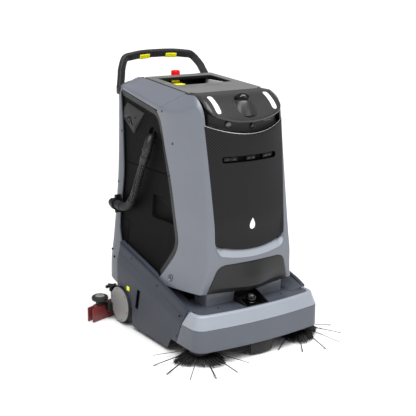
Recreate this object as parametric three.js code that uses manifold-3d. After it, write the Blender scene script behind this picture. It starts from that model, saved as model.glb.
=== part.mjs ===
// Autonomous wet and dry floor scrubber: a wheeled tower body over a low apron, with two side brushes,
// a twin-disc scrub deck, a curved squeegee, a push handle and the tanks, battery and drives inside.
// Millimetres, +Z up, the front faces -Y. The origin is on the floor, at the centre of the bounding box.
import * as THREE from "three";
import { mergeVertices } from "three/addons/utils/BufferGeometryUtils.js";
import Module from "manifold-3d";

const wasm = await Module();
wasm.setup();

// ---------------------------------------------------------------- driving dimensions
const SIDES = { left: -1, right: 1 }; // left is -X, the side that carries the drain hose
const GAP = 1; // gap between neighbouring covers
const WALL = 5; // wall of the moulded covers

const TOWER = { sideY: -60, rearY: 444, rearRadius: 80, frontRadius: 14, bottom: 268 };
// Stations of the tower's plan outline: height, front corner's y and half width, the front's crown between
// its corners, the side's half width at the middle, and the half width at the rear corners, which flare out.
const TOWER_STATIONS = [
  { z: 150, front: -238, half: 262, crown: 12, side: 298, rearHalf: 302 },
  { z: 268, front: -251, half: 234, crown: 14, side: 290, rearHalf: 298 },
  { z: 330, front: -264, half: 220, crown: 18, side: 276, rearHalf: 294 },
  { z: 400, front: -273, half: 212, crown: 20, side: 265, rearHalf: 288 },
  { z: 480, front: -267, half: 207, crown: 24, side: 258, rearHalf: 279 },
  { z: 680, front: -246, half: 202, crown: 37, side: 251, rearHalf: 259 },
  { z: 960, front: -214, half: 198, crown: 61, side: 247, rearHalf: 248 },
  { z: 1140, front: -192, half: 198, crown: 70, side: 246, rearHalf: 246 },
];
const LID = {
  rearY: 283,
  frontY: -106,
  rearHalf: 178,
  frontHalf: 188,
  rearZ: 1104,
  frontZ: 1074,
  plate: 12,
};
// The crease between the sloping shoulder and the side, and the strip of shell below it.
const SHOULDER = { half: 247, slope: 0.186, z: 1016, y: 74, strip: 20 };
const NOSE = { radius: 112, frontY: -214 }; // round over the tower's top front edge
const RECESS = { half: 139, frontY: 63, rearY: 238 }; // opening in the lid
const TRAY = { floorZ: 1035, topZ: 1082, wall: 5, frontY: 58, rearY: 345 };

const APRON = {
  half: 316,
  frontY: -378,
  cornerRadius: 50,
  bow: 20,
  bottom: 62,
  crease: 155,
  deck: 212,
  inset: 16,
};
const SKIRT = { bottom: 16, rearY: 312, wall: 12, flange: 26, topHalf: 304 };
const SKIRT_TOP = [[-262, 226], [50, 302], [238, 353], [312, 376]]; // y, z of the skirt's top edge
const CREASE_RISE = 0.215; // the apron's lower crease climbs this much per millimetre along the skirt

const DRIVE = {
  y: 275,
  radius: 90,
  discFace: 328,
  discRadius: 84,
  tread: 44,
  motorRadius: 38,
  archGap: 4,
};
const CASTER = { x: 235, y: 0, trail: 20, radius: 36, width: 26, plateZ: 112 };
const SCRUB = { x: 114, y: 122, radius: 108, deckHalf: 232, deckDepth: 112 };
const SIDE_BRUSH = { x: 250, y: -276, radius: 208, tufts: 12, apexZ: 46, hubRadius: 46 };
const SQUEEGEE = { endX: 428, endY: 340, centreY: 418, height: 74, depth: 44, blade: 5 };
const CHASSIS = { half: 262, frontY: -215, rearY: 330, z: 122, plate: 8 };
const TANK = { half: 222, clearance: 12, wall: 6 }; // the moulded tanks inside the tower
const PIVOT = { x: 84, y: 250, z: 98, pin: 6 }; // the squeegee arm's pivot under the chassis

const HANDLE = {
  topHalf: 190,
  baseHalf: 238,
  topY: 448,
  baseY: 392,
  baseZ: 1058,
  topZ: 1176,
  bow: 22,
  bar: 32,
  depth: 20,
};
const ESTOP = { y: 307, radius: 20, seatZ: 1083, topZ: 1121 };
// The drain hose: its stub in the panel (y, z), and its level lower end with the clip and the cap along y.
const HOSE = { radius: 19, x: 295, z: 540, stub: [106, 878], clipY: 336, capY: 359, endY: 385 };
const POCKET = { y0: 76, y1: 138, z0: 846, z1: 912 }; // the hose's opening in the left side panel

const COLOURS = {
  grey: [0x868a91, 0.45, 0.1],
  darkGrey: [0x565a62, 0.5, 0.1],
  black: [0x232324, 0.5, 0],
  gloss: [0x101010, 0.15, 0],
  rubber: [0x161616, 0.85, 0],
  red: [0xe0202a, 0.4, 0],
  squeegeeRed: [0x6e2a2a, 0.5, 0],
  yellow: [0xf2f01c, 0.5, 0],
  white: [0xf2f2f2, 0.3, 0],
  tank: [0xc9cbcc, 0.5, 0],
  steel: [0x9a9c9e, 0.35, 0.8],
  disc: [0x8c8b8b, 0.5, 0.1],
};

// ---------------------------------------------------------------- small tools
const lerp = THREE.MathUtils.lerp;
const radians = THREE.MathUtils.degToRad;

const materials = new Map();
function material(name) {
  if (!materials.has(name)) {
    const [color, roughness, metalness] = COLOURS[name];
    materials.set(name, new THREE.MeshStandardMaterial({ color, roughness, metalness }));
  }
  return materials.get(name);
}

function solidOf(geometry) {
  const bare = geometry.index ? geometry.toNonIndexed() : geometry.clone();
  bare.deleteAttribute("normal");
  bare.deleteAttribute("uv");
  const merged = mergeVertices(bare, 1e-3);
  return new wasm.Manifold(
    new wasm.Mesh({
      numProp: 3,
      vertProperties: merged.attributes.position.array,
      triVerts: new Uint32Array(merged.index.array),
    }),
  );
}

function geometryOf(solid) {
  const mesh = solid.getMesh();
  const geometry = new THREE.BufferGeometry();
  geometry.setAttribute(
    "position",
    new THREE.BufferAttribute(new Float32Array(mesh.vertProperties), 3),
  );
  geometry.setIndex(new THREE.BufferAttribute(new Uint32Array(mesh.triVerts), 1));
  geometry.computeVertexNormals();
  return geometry;
}

const moved = (geometry, x, y, z) => geometry.translate(x, y, z);
const joined = (...solids) => solids.reduce((a, b) => a.add(b));
const cut = (solid, ...tools) => tools.reduce((a, b) => a.subtract(b), solid);

function box(x0, x1, y0, y1, z0, z1) {
  const geometry = new THREE.BoxGeometry(x1 - x0, y1 - y0, z1 - z0);
  return solidOf(moved(geometry, (x0 + x1) / 2, (y0 + y1) / 2, (z0 + z1) / 2));
}

const shapeOf = (points) => new THREE.Shape(points.map(([u, v]) => new THREE.Vector2(u, v)));

// Prisms: an outline in two axes, run along the third.
function prismX(points, x0, x1) {
  const geometry = new THREE.ExtrudeGeometry(shapeOf(points), { depth: x1 - x0, bevelEnabled: false });
  geometry.applyMatrix4(new THREE.Matrix4().set(0, 0, 1, x0, 1, 0, 0, 0, 0, 1, 0, 0, 0, 0, 0, 1));
  return solidOf(geometry);
}

function prismY(points, y0, y1) {
  const geometry = new THREE.ExtrudeGeometry(shapeOf(points), { depth: y1 - y0, bevelEnabled: false });
  geometry.applyMatrix4(new THREE.Matrix4().set(1, 0, 0, 0, 0, 0, -1, y1, 0, 1, 0, 0, 0, 0, 0, 1));
  return solidOf(geometry);
}

function prismZ(points, z0, z1) {
  const geometry = new THREE.ExtrudeGeometry(shapeOf(points), { depth: z1 - z0, bevelEnabled: false });
  return solidOf(moved(geometry, 0, 0, z0));
}

function cylinder(axis, radius, from, to, [u, v], segments = 24, endRadius = radius) {
  const geometry = new THREE.CylinderGeometry(endRadius, radius, to - from, segments);
  if (axis === "x") geometry.rotateZ(-Math.PI / 2).translate((from + to) / 2, u, v);
  if (axis === "y") geometry.translate(u, (from + to) / 2, v);
  if (axis === "z") geometry.rotateX(Math.PI / 2).translate(u, v, (from + to) / 2);
  return solidOf(geometry);
}

// A turned body: a closed profile of [radius, height], turned about an axis through (u, v).
function turned(axis, profile, [u, v], segments = 32) {
  const points = [...profile, profile[0]].map(([r, h]) => new THREE.Vector2(r, h));
  const geometry = new THREE.LatheGeometry(points, segments);
  if (axis === "x") geometry.rotateZ(-Math.PI / 2).translate(0, u, v);
  if (axis === "z") geometry.rotateX(Math.PI / 2).translate(u, v, 0);
  return facingOut(solidOf(geometry), geometry);
}

function facingOut(solid, geometry) {
  if (solid.volume() > 0) return solid;
  const bare = geometry.toNonIndexed();
  const p = bare.attributes.position.array;
  for (let i = 0; i < p.length; i += 9)
    for (let k = 0; k < 3; k++) [p[i + 3 + k], p[i + 6 + k]] = [p[i + 6 + k], p[i + 3 + k]];
  return solidOf(bare);
}

// A body lofted through sections, which are lists of equally many [x, y, z] points. `flat` gives the two
// coordinates a section's cap is filled in.
function loft(sections, flat) {
  const count = sections[0].length;
  const positions = sections.flat(2);
  const index = [];
  for (let s = 0; s + 1 < sections.length; s++)
    for (let i = 0; i < count; i++) {
      const a = s * count + i;
      const b = s * count + ((i + 1) % count);
      index.push(a, b, b + count, a, b + count, a + count);
    }
  const capOf = (section) => {
    const outline = section.map((p) => new THREE.Vector2(...flat(p)));
    const triangles = THREE.ShapeUtils.triangulateShape(outline, []);
    return THREE.ShapeUtils.isClockWise(outline) ? triangles.map(([a, b, c]) => [a, c, b]) : triangles;
  };
  const last = (sections.length - 1) * count;
  for (const [a, b, c] of capOf(sections[0])) index.push(a, c, b);
  for (
    const [a, b, c] of capOf(sections[sections.length - 1])
  ) index.push(last + a, last + b, last + c);
  const geometry = new THREE.BufferGeometry();
  geometry.setAttribute("position", new THREE.BufferAttribute(new Float32Array(positions), 3));
  geometry.setIndex(index);
  return facingOut(solidOf(geometry), geometry);
}

const loftZ = (levels) => loft(
  levels.map(({ z, points }) => points.map(([x, y]) => [x, y, z])),
  ([x, y]) => [x, y],
);
const loftY = (stations) => loft(
  stations.map(({ y, points }) => points.map(([x, z]) => [x, y, z])),
  ([x, , z]) => [-x, z],
);

function tube(points, radius, sides = 12, steps = 24, inner = 0) {
  const path = new THREE.CatmullRomCurve3(
    points.map((p) => new THREE.Vector3(...p)),
    false,
    "centripetal",
  );
  const shape = new THREE.Shape().absarc(0, 0, radius, 0, 2 * Math.PI, false);
  if (inner) shape.holes.push(new THREE.Path().absarc(0, 0, inner, 0, 2 * Math.PI, true));
  return solidOf(
    new THREE.ExtrudeGeometry(
      shape,
      { extrudePath: path, steps, curveSegments: sides, bevelEnabled: false },
    ),
  );
}

const mirrorX = (points) => points.map(([x, ...rest]) => [-x, ...rest]);
const bothSides = (points) => [...points, ...mirrorX(points).reverse()];
const mirrored = (solid) => solid.mirror([1, 0, 0]);
const largest = (solid) => solid.decompose().sort((a, b) => b.volume() - a.volume())[0];
const onSide = (solid, side) => (side < 0 ? mirrored(solid) : solid); // pieces are drawn on the +X side

// A value read off a table of [at, value] stations, straight between them and constant beyond the ends.
function stationValue(table, at) {
  if (at <= table[0][0]) return table[0][1];
  for (let i = 1; i < table.length; i++)
    if (at <= table[i][0]) {
      const [a, b] = [table[i - 1], table[i]];
      return lerp(a[1], b[1], (at - a[0]) / (b[0] - a[0]));
    }
  return table[table.length - 1][1];
}

// ---------------------------------------------------------------- the assembly
const scrubber = new THREE.Group();

function add(name, solid, colour) {
  const mesh = new THREE.Mesh(geometryOf(solid), material(colour));
  mesh.name = name;
  scrubber.add(mesh);
  return solid;
}

function addPair(name, solid, colour) {
  for (const [side, sign] of Object.entries(SIDES)) add(`${name}_${side}`, onSide(solid, sign), colour);
}

// ---------------------------------------------------------------- tower form
// The right half of the tower's plan outline at one station, set in by `inset`, front to rear.
function towerHalfOutline({ front, half, crown, side, rearHalf }, inset) {
  const points = [];
  const y0 = front + inset;
  const w0 = half - inset;
  const w1 = side - inset;
  const w2 = rearHalf - inset;
  const rear = TOWER.rearY - inset;
  const r = TOWER.rearRadius - inset;
  for (const share of [0.2, 0.45, 0.7, 0.87]) points.push(
    [w0 * share, y0 - crown * (1 - share * share)],
  );
  points.push([w0 - TOWER.frontRadius * 0.35, y0 + 1], [w0, y0 + TOWER.frontRadius * 0.6]);
  points.push([lerp(w0, w1, 0.55), lerp(y0, TOWER.sideY, 0.5)], [w1, 0], [w2, rear - r]);
  for (const angle of [30, 60, 90])
    points.push([w2 - r + r * Math.cos(radians(angle)), rear - r + r * Math.sin(radians(angle))]);
  return points;
}

const towerWalls = (inset) =>
  loftZ(
    TOWER_STATIONS.map(
      (station) => ({ z: station.z, points: bothSides(towerHalfOutline(station, inset)) }),
    ),
  );

const lidZ = (y) => lerp(LID.frontZ, LID.rearZ, (y - LID.frontY) / (LID.rearY - LID.frontY));
const lidHalf = (y) => lerp(LID.frontHalf, LID.rearHalf, (y - LID.frontY) / (LID.rearY - LID.frontY));
const creaseZ = (y) => SHOULDER.z + SHOULDER.slope * (y - SHOULDER.y);

// The roof: a flat top with a sloping shoulder on each side, run from front to rear.
const roof = (drop) =>
  loftY(
    [-320, 460].map((y) => ({
      y,
      points: bothSides(
        [
          [lidHalf(y) - drop * 0.4, lidZ(y) - drop], [SHOULDER.half + 2, creaseZ(y) - drop],
          [340, creaseZ(y) - 60 - drop], [340, 100],
        ],
      ),
    })),
  );

// The side profile: the round top front edge, the lid's slope and the falling rear top edge.
function sideProfile(inset) {
  const radius = NOSE.radius - inset;
  const centreY = NOSE.frontY + NOSE.radius;
  const centreZ = lidZ(centreY) - NOSE.radius;
  const arc = [180, 162, 144, 126, 108, 90].map((a) => [
    centreY + radius * Math.cos(radians(a)), centreZ + radius * Math.sin(radians(a))]);
  return prismX(
    [
      [470 - inset, 100],
      [470 - inset, 1020 - inset],
      [TOWER.rearY - 20, 1050 - inset],
      [372, 1078 - inset],
      [316, lidZ(316) - inset],
      ...arc.reverse(),
      [-400, centreZ - 20],
      [-400, 100],
    ],
    -340,
    340,
  );
}

const towerForm = (inset) => towerWalls(inset).intersect(roof(inset)).intersect(sideProfile(inset));
const tower = towerForm(0);
const towerSkin = cut(tower, towerForm(WALL), box(-400, 400, -400, 500, 0, 165));

// Outlines in side view (y, z) of the black side panel's opening.
const OPENING_FRONT = [
  [4, 268], [-88, 400], [-103, 440], [-104, 475], [-84, 560], [-48, 716], [-12, 830], [24, 945],
  [42, 972], [62, 990],
];
const SIDE_OPENING = [
  ...OPENING_FRONT.slice().reverse(),
  [40, 250],
  [238, 322],
  [300, 354],
  [318, 392],
  [334, 430],
  [340, 480],
  [337, 580],
  [333, 690],
  [346, 860],
  [368, 1048],
];
const SPLIT_Z = 732; // seam between the upper side panel and the lower side door
const sideOpening = prismX(SIDE_OPENING, 150, 340);
const sideRegion = (z0, z1) => sideOpening.intersect(box(150, 340, -300, 460, z0, z1));
const CAP_SEAM = [[58, 989], [-76, 1070]]; // seam between the front shell and the shoulder cap
const inFront = prismX(
  [[-400, 200], [4, 200], ...OPENING_FRONT.slice(0, -1), ...CAP_SEAM, [-78, 1100], [-400, 1100]],
  -340,
  340,
);

// ---------------------------------------------------------------- side covers
// A region grown by a distance in Y and Z, for the gap round a cover.
function grown(region, by) {
  const steps = [-by, 0, by];
  return joined(...steps.flatMap((dy) => steps.map((dz) => region.translate([0, dy, dz]))));
}

const skirtClear = prismX(
  [[-400, 200], ...SKIRT_TOP.map(([y, z]) => [y, z + 6]), [500, 180], [500, 100], [-400, 100]],
  -340,
  340,
);
const panelSkin = cut(towerSkin, skirtClear);
const hosePocket = box(225, 275, POCKET.y0, POCKET.y1, POCKET.z0, POCKET.z1);
const pod = prismX(
  [[184, 958], [305, 1006], [348, 985], [340, 950], [300, 905], [284, 862], [262, 872]],
  240,
  268,
);
const gripRecess = box(252.5, 340, -80, 92, 522, 630);
const upperPanel = joined(panelSkin.intersect(sideRegion(SPLIT_Z + GAP, 1100)), pod);
const rightDoor = cut(panelSkin.intersect(sideRegion(200, SPLIT_Z)), gripRecess);
add("side_panel_left", cut(mirrored(upperPanel), mirrored(hosePocket)), "black");
add("side_panel_right", upperPanel, "black");
add("side_door_left", mirrored(rightDoor), "black");
add("side_door_right", rightDoor, "black");

// ---------------------------------------------------------------- front: shell, panels, visor, sensor bar
const arcPoints = (half, edge, middle, steps = 6) =>
  Array.from({ length: steps + 1 }, (_, i) => {
    const x = lerp(-half, half, i / steps);
    return [x, lerp(middle, edge, (x / half) ** 2)];
  });

const PANEL = {
  topHalf: 194,
  topEdge: 958,
  topMiddle: 918,
  bottomHalf: 172,
  bottomEdge: 462,
  bottomMiddle: 438,
};
const CHIN = { top: 389, topHalf: 165, bottom: 268, bottomHalf: 206, noseY: -330, nose: 287 };
const panelRegion = prismY([...arcPoints(PANEL.topHalf, PANEL.topEdge, PANEL.topMiddle).reverse(),
  ...arcPoints(PANEL.bottomHalf, PANEL.bottomEdge, PANEL.bottomMiddle)], -420, -150);
const headOpening = prismY(
  [
    ...arcPoints(PANEL.topHalf + 3, PANEL.topEdge + 3, PANEL.topMiddle + 3),
    [LID.frontHalf + 1, 1010],
    [LID.frontHalf + 1, 1110],
    [-LID.frontHalf - 1, 1110],
    [-LID.frontHalf - 1, 1010],
  ],
  -420,
  LID.frontY,
);
const chinOpening = prismY(
  [
    [-CHIN.bottomHalf - GAP, 200], [CHIN.bottomHalf + GAP, 200], [CHIN.bottomHalf + GAP, CHIN.bottom],
    [CHIN.topHalf + GAP, CHIN.top + GAP], [-CHIN.topHalf - GAP, CHIN.top + GAP],
    [-CHIN.bottomHalf - GAP, CHIN.bottom],
  ],
  -420,
  -150,
);
const jackPort = cylinder("x", 14, 230, 330, [-80, 303], 16);
const topCut = box(-LID.frontHalf - 1, LID.frontHalf + 1, LID.frontY - 1, 500, 1000, 1200);
const frontShell = cut(
  towerSkin.intersect(inFront),
  box(-400, 400, -400, 500, 100, TOWER.bottom),
  panelRegion,
  headOpening,
  chinOpening,
  topCut,
  grown(sideOpening, GAP),
  grown(mirrored(sideOpening), GAP),
  jackPort,
  mirrored(jackPort),
);
add("front_shell", frontShell, "grey");

const visionSlot = prismY(
  [[-128, 806], [128, 806], [133, 812], [133, 826], [128, 832], [-128, 832], [-133, 826], [-133, 812]],
  -420,
  -150,
);
const frontPanel = cut(
  towerSkin.intersect(
    panelRegion.intersect(
      prismY(
        [
          ...arcPoints(PANEL.topHalf - GAP, PANEL.topEdge - GAP, PANEL.topMiddle - GAP).reverse(),
          ...arcPoints(PANEL.bottomHalf - GAP, PANEL.bottomEdge + GAP, PANEL.bottomMiddle + GAP),
        ],
        -420,
        -150,
      ),
    ),
  ),
  visionSlot,
);
add("front_panel", frontPanel, "black");

// The chin: the black lower panel, which swells forward to a nose above the scanner bay.
const chinLevel = (z, half, edge, middle, back) => (
  { z, points: [...arcPoints(half, edge, middle, 8), [half * 0.96, back], [-half * 0.96, back]] }
);
const chin = cut(
  loftZ(
    [
      chinLevel(CHIN.bottom, 203, -262, -328, -236),
      chinLevel(CHIN.nose, 198, -266, CHIN.noseY, -240),
      chinLevel(CHIN.top, CHIN.topHalf, -281, -293, -258),
    ],
  ),
  loftZ(
    [
      chinLevel(CHIN.bottom - 5, 190, -250, -312, -230),
      chinLevel(CHIN.nose, 188, -254, -318, -230),
      chinLevel(CHIN.top - 8, CHIN.topHalf - 10, -271, -283, -230),
    ],
  ),
);
add("lower_panel", chin, "black");

// The visor: the black head cover over the sensor bar, round in plan, with a lip above the bar.
const visorHalf = [
  [185, LID.frontY - GAP], [184, -190], [178, -226], [164, -246], [137, -258], [80, -270], [0, -275],
];
const visorPlan = [...visorHalf, ...mirrorX(visorHalf).reverse().slice(1)];
const visorProfile = [
  [LID.frontY - GAP, 1073], [-169, 1064], [-215, 1038], [-245, 1008], [-266, 985], [-275, 973],
  [-275, 962], [-262, 962], [-250, 985], [-210, 1020], [-165, 1048], [LID.frontY - GAP, 1062],
];
const visorTop = prismX(visorProfile, -200, 200).intersect(prismZ(visorPlan, 900, 1100));
const lightSlot = (x0, x1) => prismX(
  [[-164, 1085], [-252, 1035], [-256, 1000], [-244, 993], [-160, 1040]],
  x0,
  x1,
);
const dome = { y: -208, z: 1046, radius: 30 };
add(
  "head_visor",
  cut(
    visorTop,
    lightSlot(126, 150),
    lightSlot(-150, -126),
    cylinder("z", 33, 990, 1110, [0, dome.y], 20),
  ),
  "black",
);
for (const [side, sign] of Object.entries(SIDES)) {
  const bar = prismX(
    [[-168, 1062], [-214, 1036.5], [-243, 1007.5], [-239, 999], [-208, 1026], [-168, 1052]],
    127,
    149,
  );
  add(`light_bar_${side}`, onSide(bar, sign), "white");
}
const domeProfile = [
  [0.01, 1016], [28, 1016], [32, 1022], [32, 1044], [28, 1062], [16, 1073], [0.01, 1077],
];
add("camera_dome", turned("z", domeProfile, [0, dome.y], 20), "gloss");

const sensorPlan = [
  [178, LID.frontY - 4], [177, -186], [165, -214], [135, -234], [80, -248], [0, -256],
];
const sensorOuter = prismZ(
  [...sensorPlan, ...mirrorX(sensorPlan).reverse().slice(1)].reverse(),
  890,
  1012,
);
const sensorInner = prismZ(
  [
    [156, -100], [156, -180], [110, -214], [0, -232], [-110, -214], [-156, -180], [-156, -100],
  ].reverse(),
  880,
  1020,
);
const sensorBar = cut(sensorOuter, sensorInner).intersect(
  prismY(
    [
      ...arcPoints(178, PANEL.topEdge + 4, PANEL.topMiddle + 4),
      [178, 1003],
      [90, 978],
      [0, 966],
      [-90, 978],
      [-178, 1003],
    ],
    -300,
    -90,
  ),
);
add("sensor_bar", cut(sensorBar, cylinder("y", 9, -260, -150, [-95, 958], 16)), "black");

// ---------------------------------------------------------------- shoulders, lid, tray
const behindSeam = cut(box(-340, 340, -200, 470, 940, 1200), grown(inFront, GAP));
const capLine = prismX(
  [
    [-200, 1200], [-200, creaseZ(-200) - SHOULDER.strip], [352, creaseZ(352) - SHOULDER.strip],
    [352, 1200],
  ],
  -340,
  340,
);
const shoulderRegion = behindSeam.intersect(capLine);
const shoulder = cut(
  towerSkin.intersect(shoulderRegion),
  box(-LID.frontHalf - 1, LID.frontHalf + 1, -300, 500, 900, 1200),
  grown(sideRegion(700, 1100), GAP),
).intersect(box(0, 400, -400, 500, 900, 1200));
addPair("shoulder_cap", shoulder, "grey");

const lidSection = (y, half) => (
  { y, points: bothSides([[half, lidZ(y)], [half, lidZ(y) - LID.plate]]) }
);
const lidBlank = loftY(
  [lidSection(LID.frontY, LID.frontHalf - GAP), lidSection(LID.rearY, LID.rearHalf - GAP)],
);
const recessHole = box(-RECESS.half, RECESS.half, RECESS.frontY, RECESS.rearY, 1000, 1200);
add("top_lid", cut(lidBlank, recessHole), "black");

const trayOuter = prismX(
  [
    [TRAY.frontY, TRAY.floorZ - TRAY.wall], [TRAY.rearY, TRAY.floorZ - TRAY.wall], [TRAY.rearY, 1074],
    [LID.rearY + 3, TRAY.topZ], [TRAY.frontY, 1073],
  ],
  -RECESS.half - TRAY.wall - 2,
  RECESS.half + TRAY.wall + 2,
);
const trayInner = box(
  -RECESS.half - 2,
  RECESS.half + 2,
  TRAY.frontY + TRAY.wall,
  TRAY.rearY - TRAY.wall,
  TRAY.floorZ,
  1200,
);
const estopHole = cylinder("z", 10.3, 1000, 1100, [0, ESTOP.y], 20);
add("console_tray", cut(trayOuter, trayInner, estopHole), "tank");
add(
  "estop_base",
  cut(
    joined(
      cylinder("z", 19, TRAY.floorZ + 0.3, ESTOP.seatZ - 7, [0, ESTOP.y], 24),
      box(-60, -14, ESTOP.y - 22, ESTOP.y + 14, TRAY.floorZ + 0.3, 1068),
    ),
    cylinder("z", 9, 1000, 1100, [0, ESTOP.y], 20),
  ),
  "yellow",
);
add(
  "estop_button",
  joined(
    turned(
      "z",
      [
        [0.01, ESTOP.seatZ], [16, ESTOP.seatZ], [ESTOP.radius, ESTOP.seatZ + 8],
        [ESTOP.radius, ESTOP.topZ - 6], [16, ESTOP.topZ], [0.01, ESTOP.topZ],
      ],
      [0, ESTOP.y],
      24,
    ),
    cylinder("z", 8.5, ESTOP.seatZ - 30, ESTOP.seatZ + 2, [0, ESTOP.y], 20),
  ),
  "red",
);

// ---------------------------------------------------------------- rear cover
const rearRegion = cut(
  box(-340, 340, 250, 470, 168, 1200),
  grown(sideOpening, GAP),
  grown(mirrored(sideOpening), GAP),
  grown(shoulder, GAP),
  grown(mirrored(shoulder), GAP),
  box(-LID.rearHalf - 1, LID.rearHalf + 1, 200, TRAY.rearY + 2, 1000, 1200),
  box(-340, 340, 200, 352.5, creaseZ(352) - 34, 1200),
);
const rearSkirtClear = prismX(
  [[200, 100], [SKIRT.rearY + GAP, 100], [SKIRT.rearY + GAP, 382], [200, 360]],
  -340,
  340,
);
const rearBottom = prismX([[300, 100], [470, 100], [470, 215], [400, 185], [300, 168]], -340, 340);
const rearArch = cylinder("x", DRIVE.radius + DRIVE.archGap, -340, 340, [DRIVE.y, DRIVE.radius], 24);
add(
  "rear_cover",
  largest(cut(towerSkin.intersect(rearRegion), rearSkirtClear, rearBottom, rearArch)),
  "grey",
);

// ---------------------------------------------------------------- apron and side skirts
function apronHalf(inset, halfInset = inset) {
  const half = APRON.half - halfInset;
  const front = APRON.frontY + inset;
  const r = APRON.cornerRadius - inset * 0.5;
  const edge = front + APRON.bow;
  const points = [
    [half * 0.3, lerp(front, edge, 0.12)], [half * 0.55, lerp(front, edge, 0.42)], [half - r, edge],
  ];
  for (const a of [-67, -45, -22, 0]) points.push(
    [half - r + r * Math.cos(radians(a)), edge + r + r * Math.sin(radians(a))],
  );
  points.push([half, 40]);
  return points;
}
const apronWalls = (inset, top) =>
  loftZ(
    [
      [top ? 10 : 20, inset], [APRON.crease, inset], [APRON.deck - 2, APRON.inset + inset],
      [260, APRON.inset + inset + 14],
    ].map(([z, set]) => ({ z, points: bothSides(apronHalf(set)) })),
  );
const seam = prismX(
  [[-500, 40], [-196, 40], [-196, 66], [-273, 221], [-273, 300], [-500, 300]],
  -340,
  340,
);
const apronOuter = apronWalls(0, true).intersect(box(-400, 400, -500, 500, APRON.bottom, APRON.deck));
const apronInner = apronWalls(WALL, false).intersect(box(-400, 400, -500, 500, 0, APRON.deck - WALL));
const deck = box(-290, 290, -300, -150, APRON.deck - WALL, APRON.deck).intersect(apronWalls(8, true));
const scanPocket = box(-58, 58, -330, -236, 180, 300);
const plinth = cut(
  box(-195, 195, -238, -144, APRON.deck - 1, 262),
  box(-190, 190, -233, -100, 150, 258),
);
const apron = cut(
  joined(
    plinth,
    cut(apronOuter, apronInner).intersect(
      joined(seam, box(-290, 290, -300, -170, APRON.deck - WALL, 300)),
    ),
    deck,
  ),
  scanPocket,
);
add("front_bumper", apron, "grey");

const skirtTopZ = (y) => stationValue(SKIRT_TOP, y);
const skirtCreaseZ = (y) => Math.min(
  APRON.crease + CREASE_RISE * Math.max(0, y + 262),
  skirtTopZ(y) - 20,
);
const skirtSection = (y) => ({
  y,
  points: [
    [APRON.half - SKIRT.wall, SKIRT.bottom],
    [APRON.half, SKIRT.bottom],
    [APRON.half, skirtCreaseZ(y)],
    [SKIRT.topHalf, skirtTopZ(y)],
    [APRON.half - SKIRT.flange, skirtTopZ(y)],
    [APRON.half - SKIRT.flange, skirtTopZ(y) - 6],
    [SKIRT.topHalf - 8, skirtTopZ(y) - 6],
    [APRON.half - SKIRT.wall, skirtCreaseZ(y)],
  ],
});
const wheelCut = cylinder("x", DRIVE.radius + DRIVE.archGap, 280, 340, [DRIVE.y, DRIVE.radius], 24);
const towSlot = prismX([[126, 108], [154, 108], [130, 200], [102, 200]], 280, 340);
const frontUnder = prismX(
  [[-400, -20], [-120, -20], [-120, 16], [-150, 64], [-196, 66], [-400, 66]],
  280,
  340,
);
const skirtBlank = loftY([-290, -180, -60, 50, 238, SKIRT.rearY].map(skirtSection));
const skirtTail = prismX(
  [[180, 0], [400, 0], [400, 150], [300, 150], [262, 100], [180, 100]],
  280,
  340,
);
addPair(
  "side_skirt",
  cut(skirtBlank, grown(seam, GAP), wheelCut, skirtTail, towSlot, frontUnder),
  "darkGrey",
);

const bayOuter = box(-57, 57, -329, -238, 200, 244);
const bayInner = joined(box(-50, 50, -340, -245, 206, 238));
add("scanner_bay", cut(bayOuter, bayInner), "black");
add(
  "scanner_head",
  turned("z", [[0.01, 208], [26, 208], [30, 212], [30, 232], [26, 236], [0.01, 236]], [0, -282], 24),
  "gloss",
);

// ---------------------------------------------------------------- chassis, drives and casters
const floorPlate = box(
  -CHASSIS.half,
  CHASSIS.half,
  CHASSIS.frontY,
  CHASSIS.rearY,
  CHASSIS.z,
  CHASSIS.z + CHASSIS.plate,
);
const rail = (x) => box(
  x - 15,
  x + 15,
  CHASSIS.frontY + 20,
  CHASSIS.rearY - 10,
  CHASSIS.z + CHASSIS.plate - 0.5,
  CHASSIS.z + 34,
);
const post = (x, y) => box(x - 12, x + 12, y - 12, y + 12, CHASSIS.z + CHASSIS.plate - 0.5, 205);
const jackPad = box(-60, 60, -170, -70, CHASSIS.z - 6, CHASSIS.z + 0.5);
const pivotLug = (x) => box(x - 5, x + 5, PIVOT.y - 12, PIVOT.y + 12, PIVOT.z - 14, CHASSIS.z + 0.5);
const pivotHole = cylinder("x", PIVOT.pin + 0.3, -120, 120, [PIVOT.y, PIVOT.z], 16);
const chassis = cut(
  joined(
    floorPlate,
    jackPad,
    rail(-235),
    rail(235),
    post(-200, -195),
    post(200, -195),
    pivotLug(-PIVOT.x),
    pivotLug(PIVOT.x),
  ),
  pivotHole,
  ...[-1, 1].map((s) => cylinder("z", 12, 100, 160, [s * CASTER.x, CASTER.y], 20)),
  ...[-1, 1].map((s) => box(s * SIDE_BRUSH.x - 52, s * SIDE_BRUSH.x + 52, -230, -196, 100, 160)),
  box(-24, 24, SCRUB.y - 24, SCRUB.y + 24, 100, 160),
);
add("chassis_frame", chassis, "darkGrey");

const motor = joined(cylinder("x", DRIVE.motorRadius, 118, 236, [DRIVE.y, DRIVE.radius - 12], 20),
  cylinder("x", DRIVE.motorRadius - 8, 235, 262, [DRIVE.y, DRIVE.radius], 20),
  box(200, 228, DRIVE.y - 30, DRIVE.y + 30, DRIVE.radius, CHASSIS.z - 0.3));
addPair("drive_motor", cut(motor, cylinder("x", 8.3, 240, 300, [DRIVE.y, DRIVE.radius], 16)), "steel");

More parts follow.
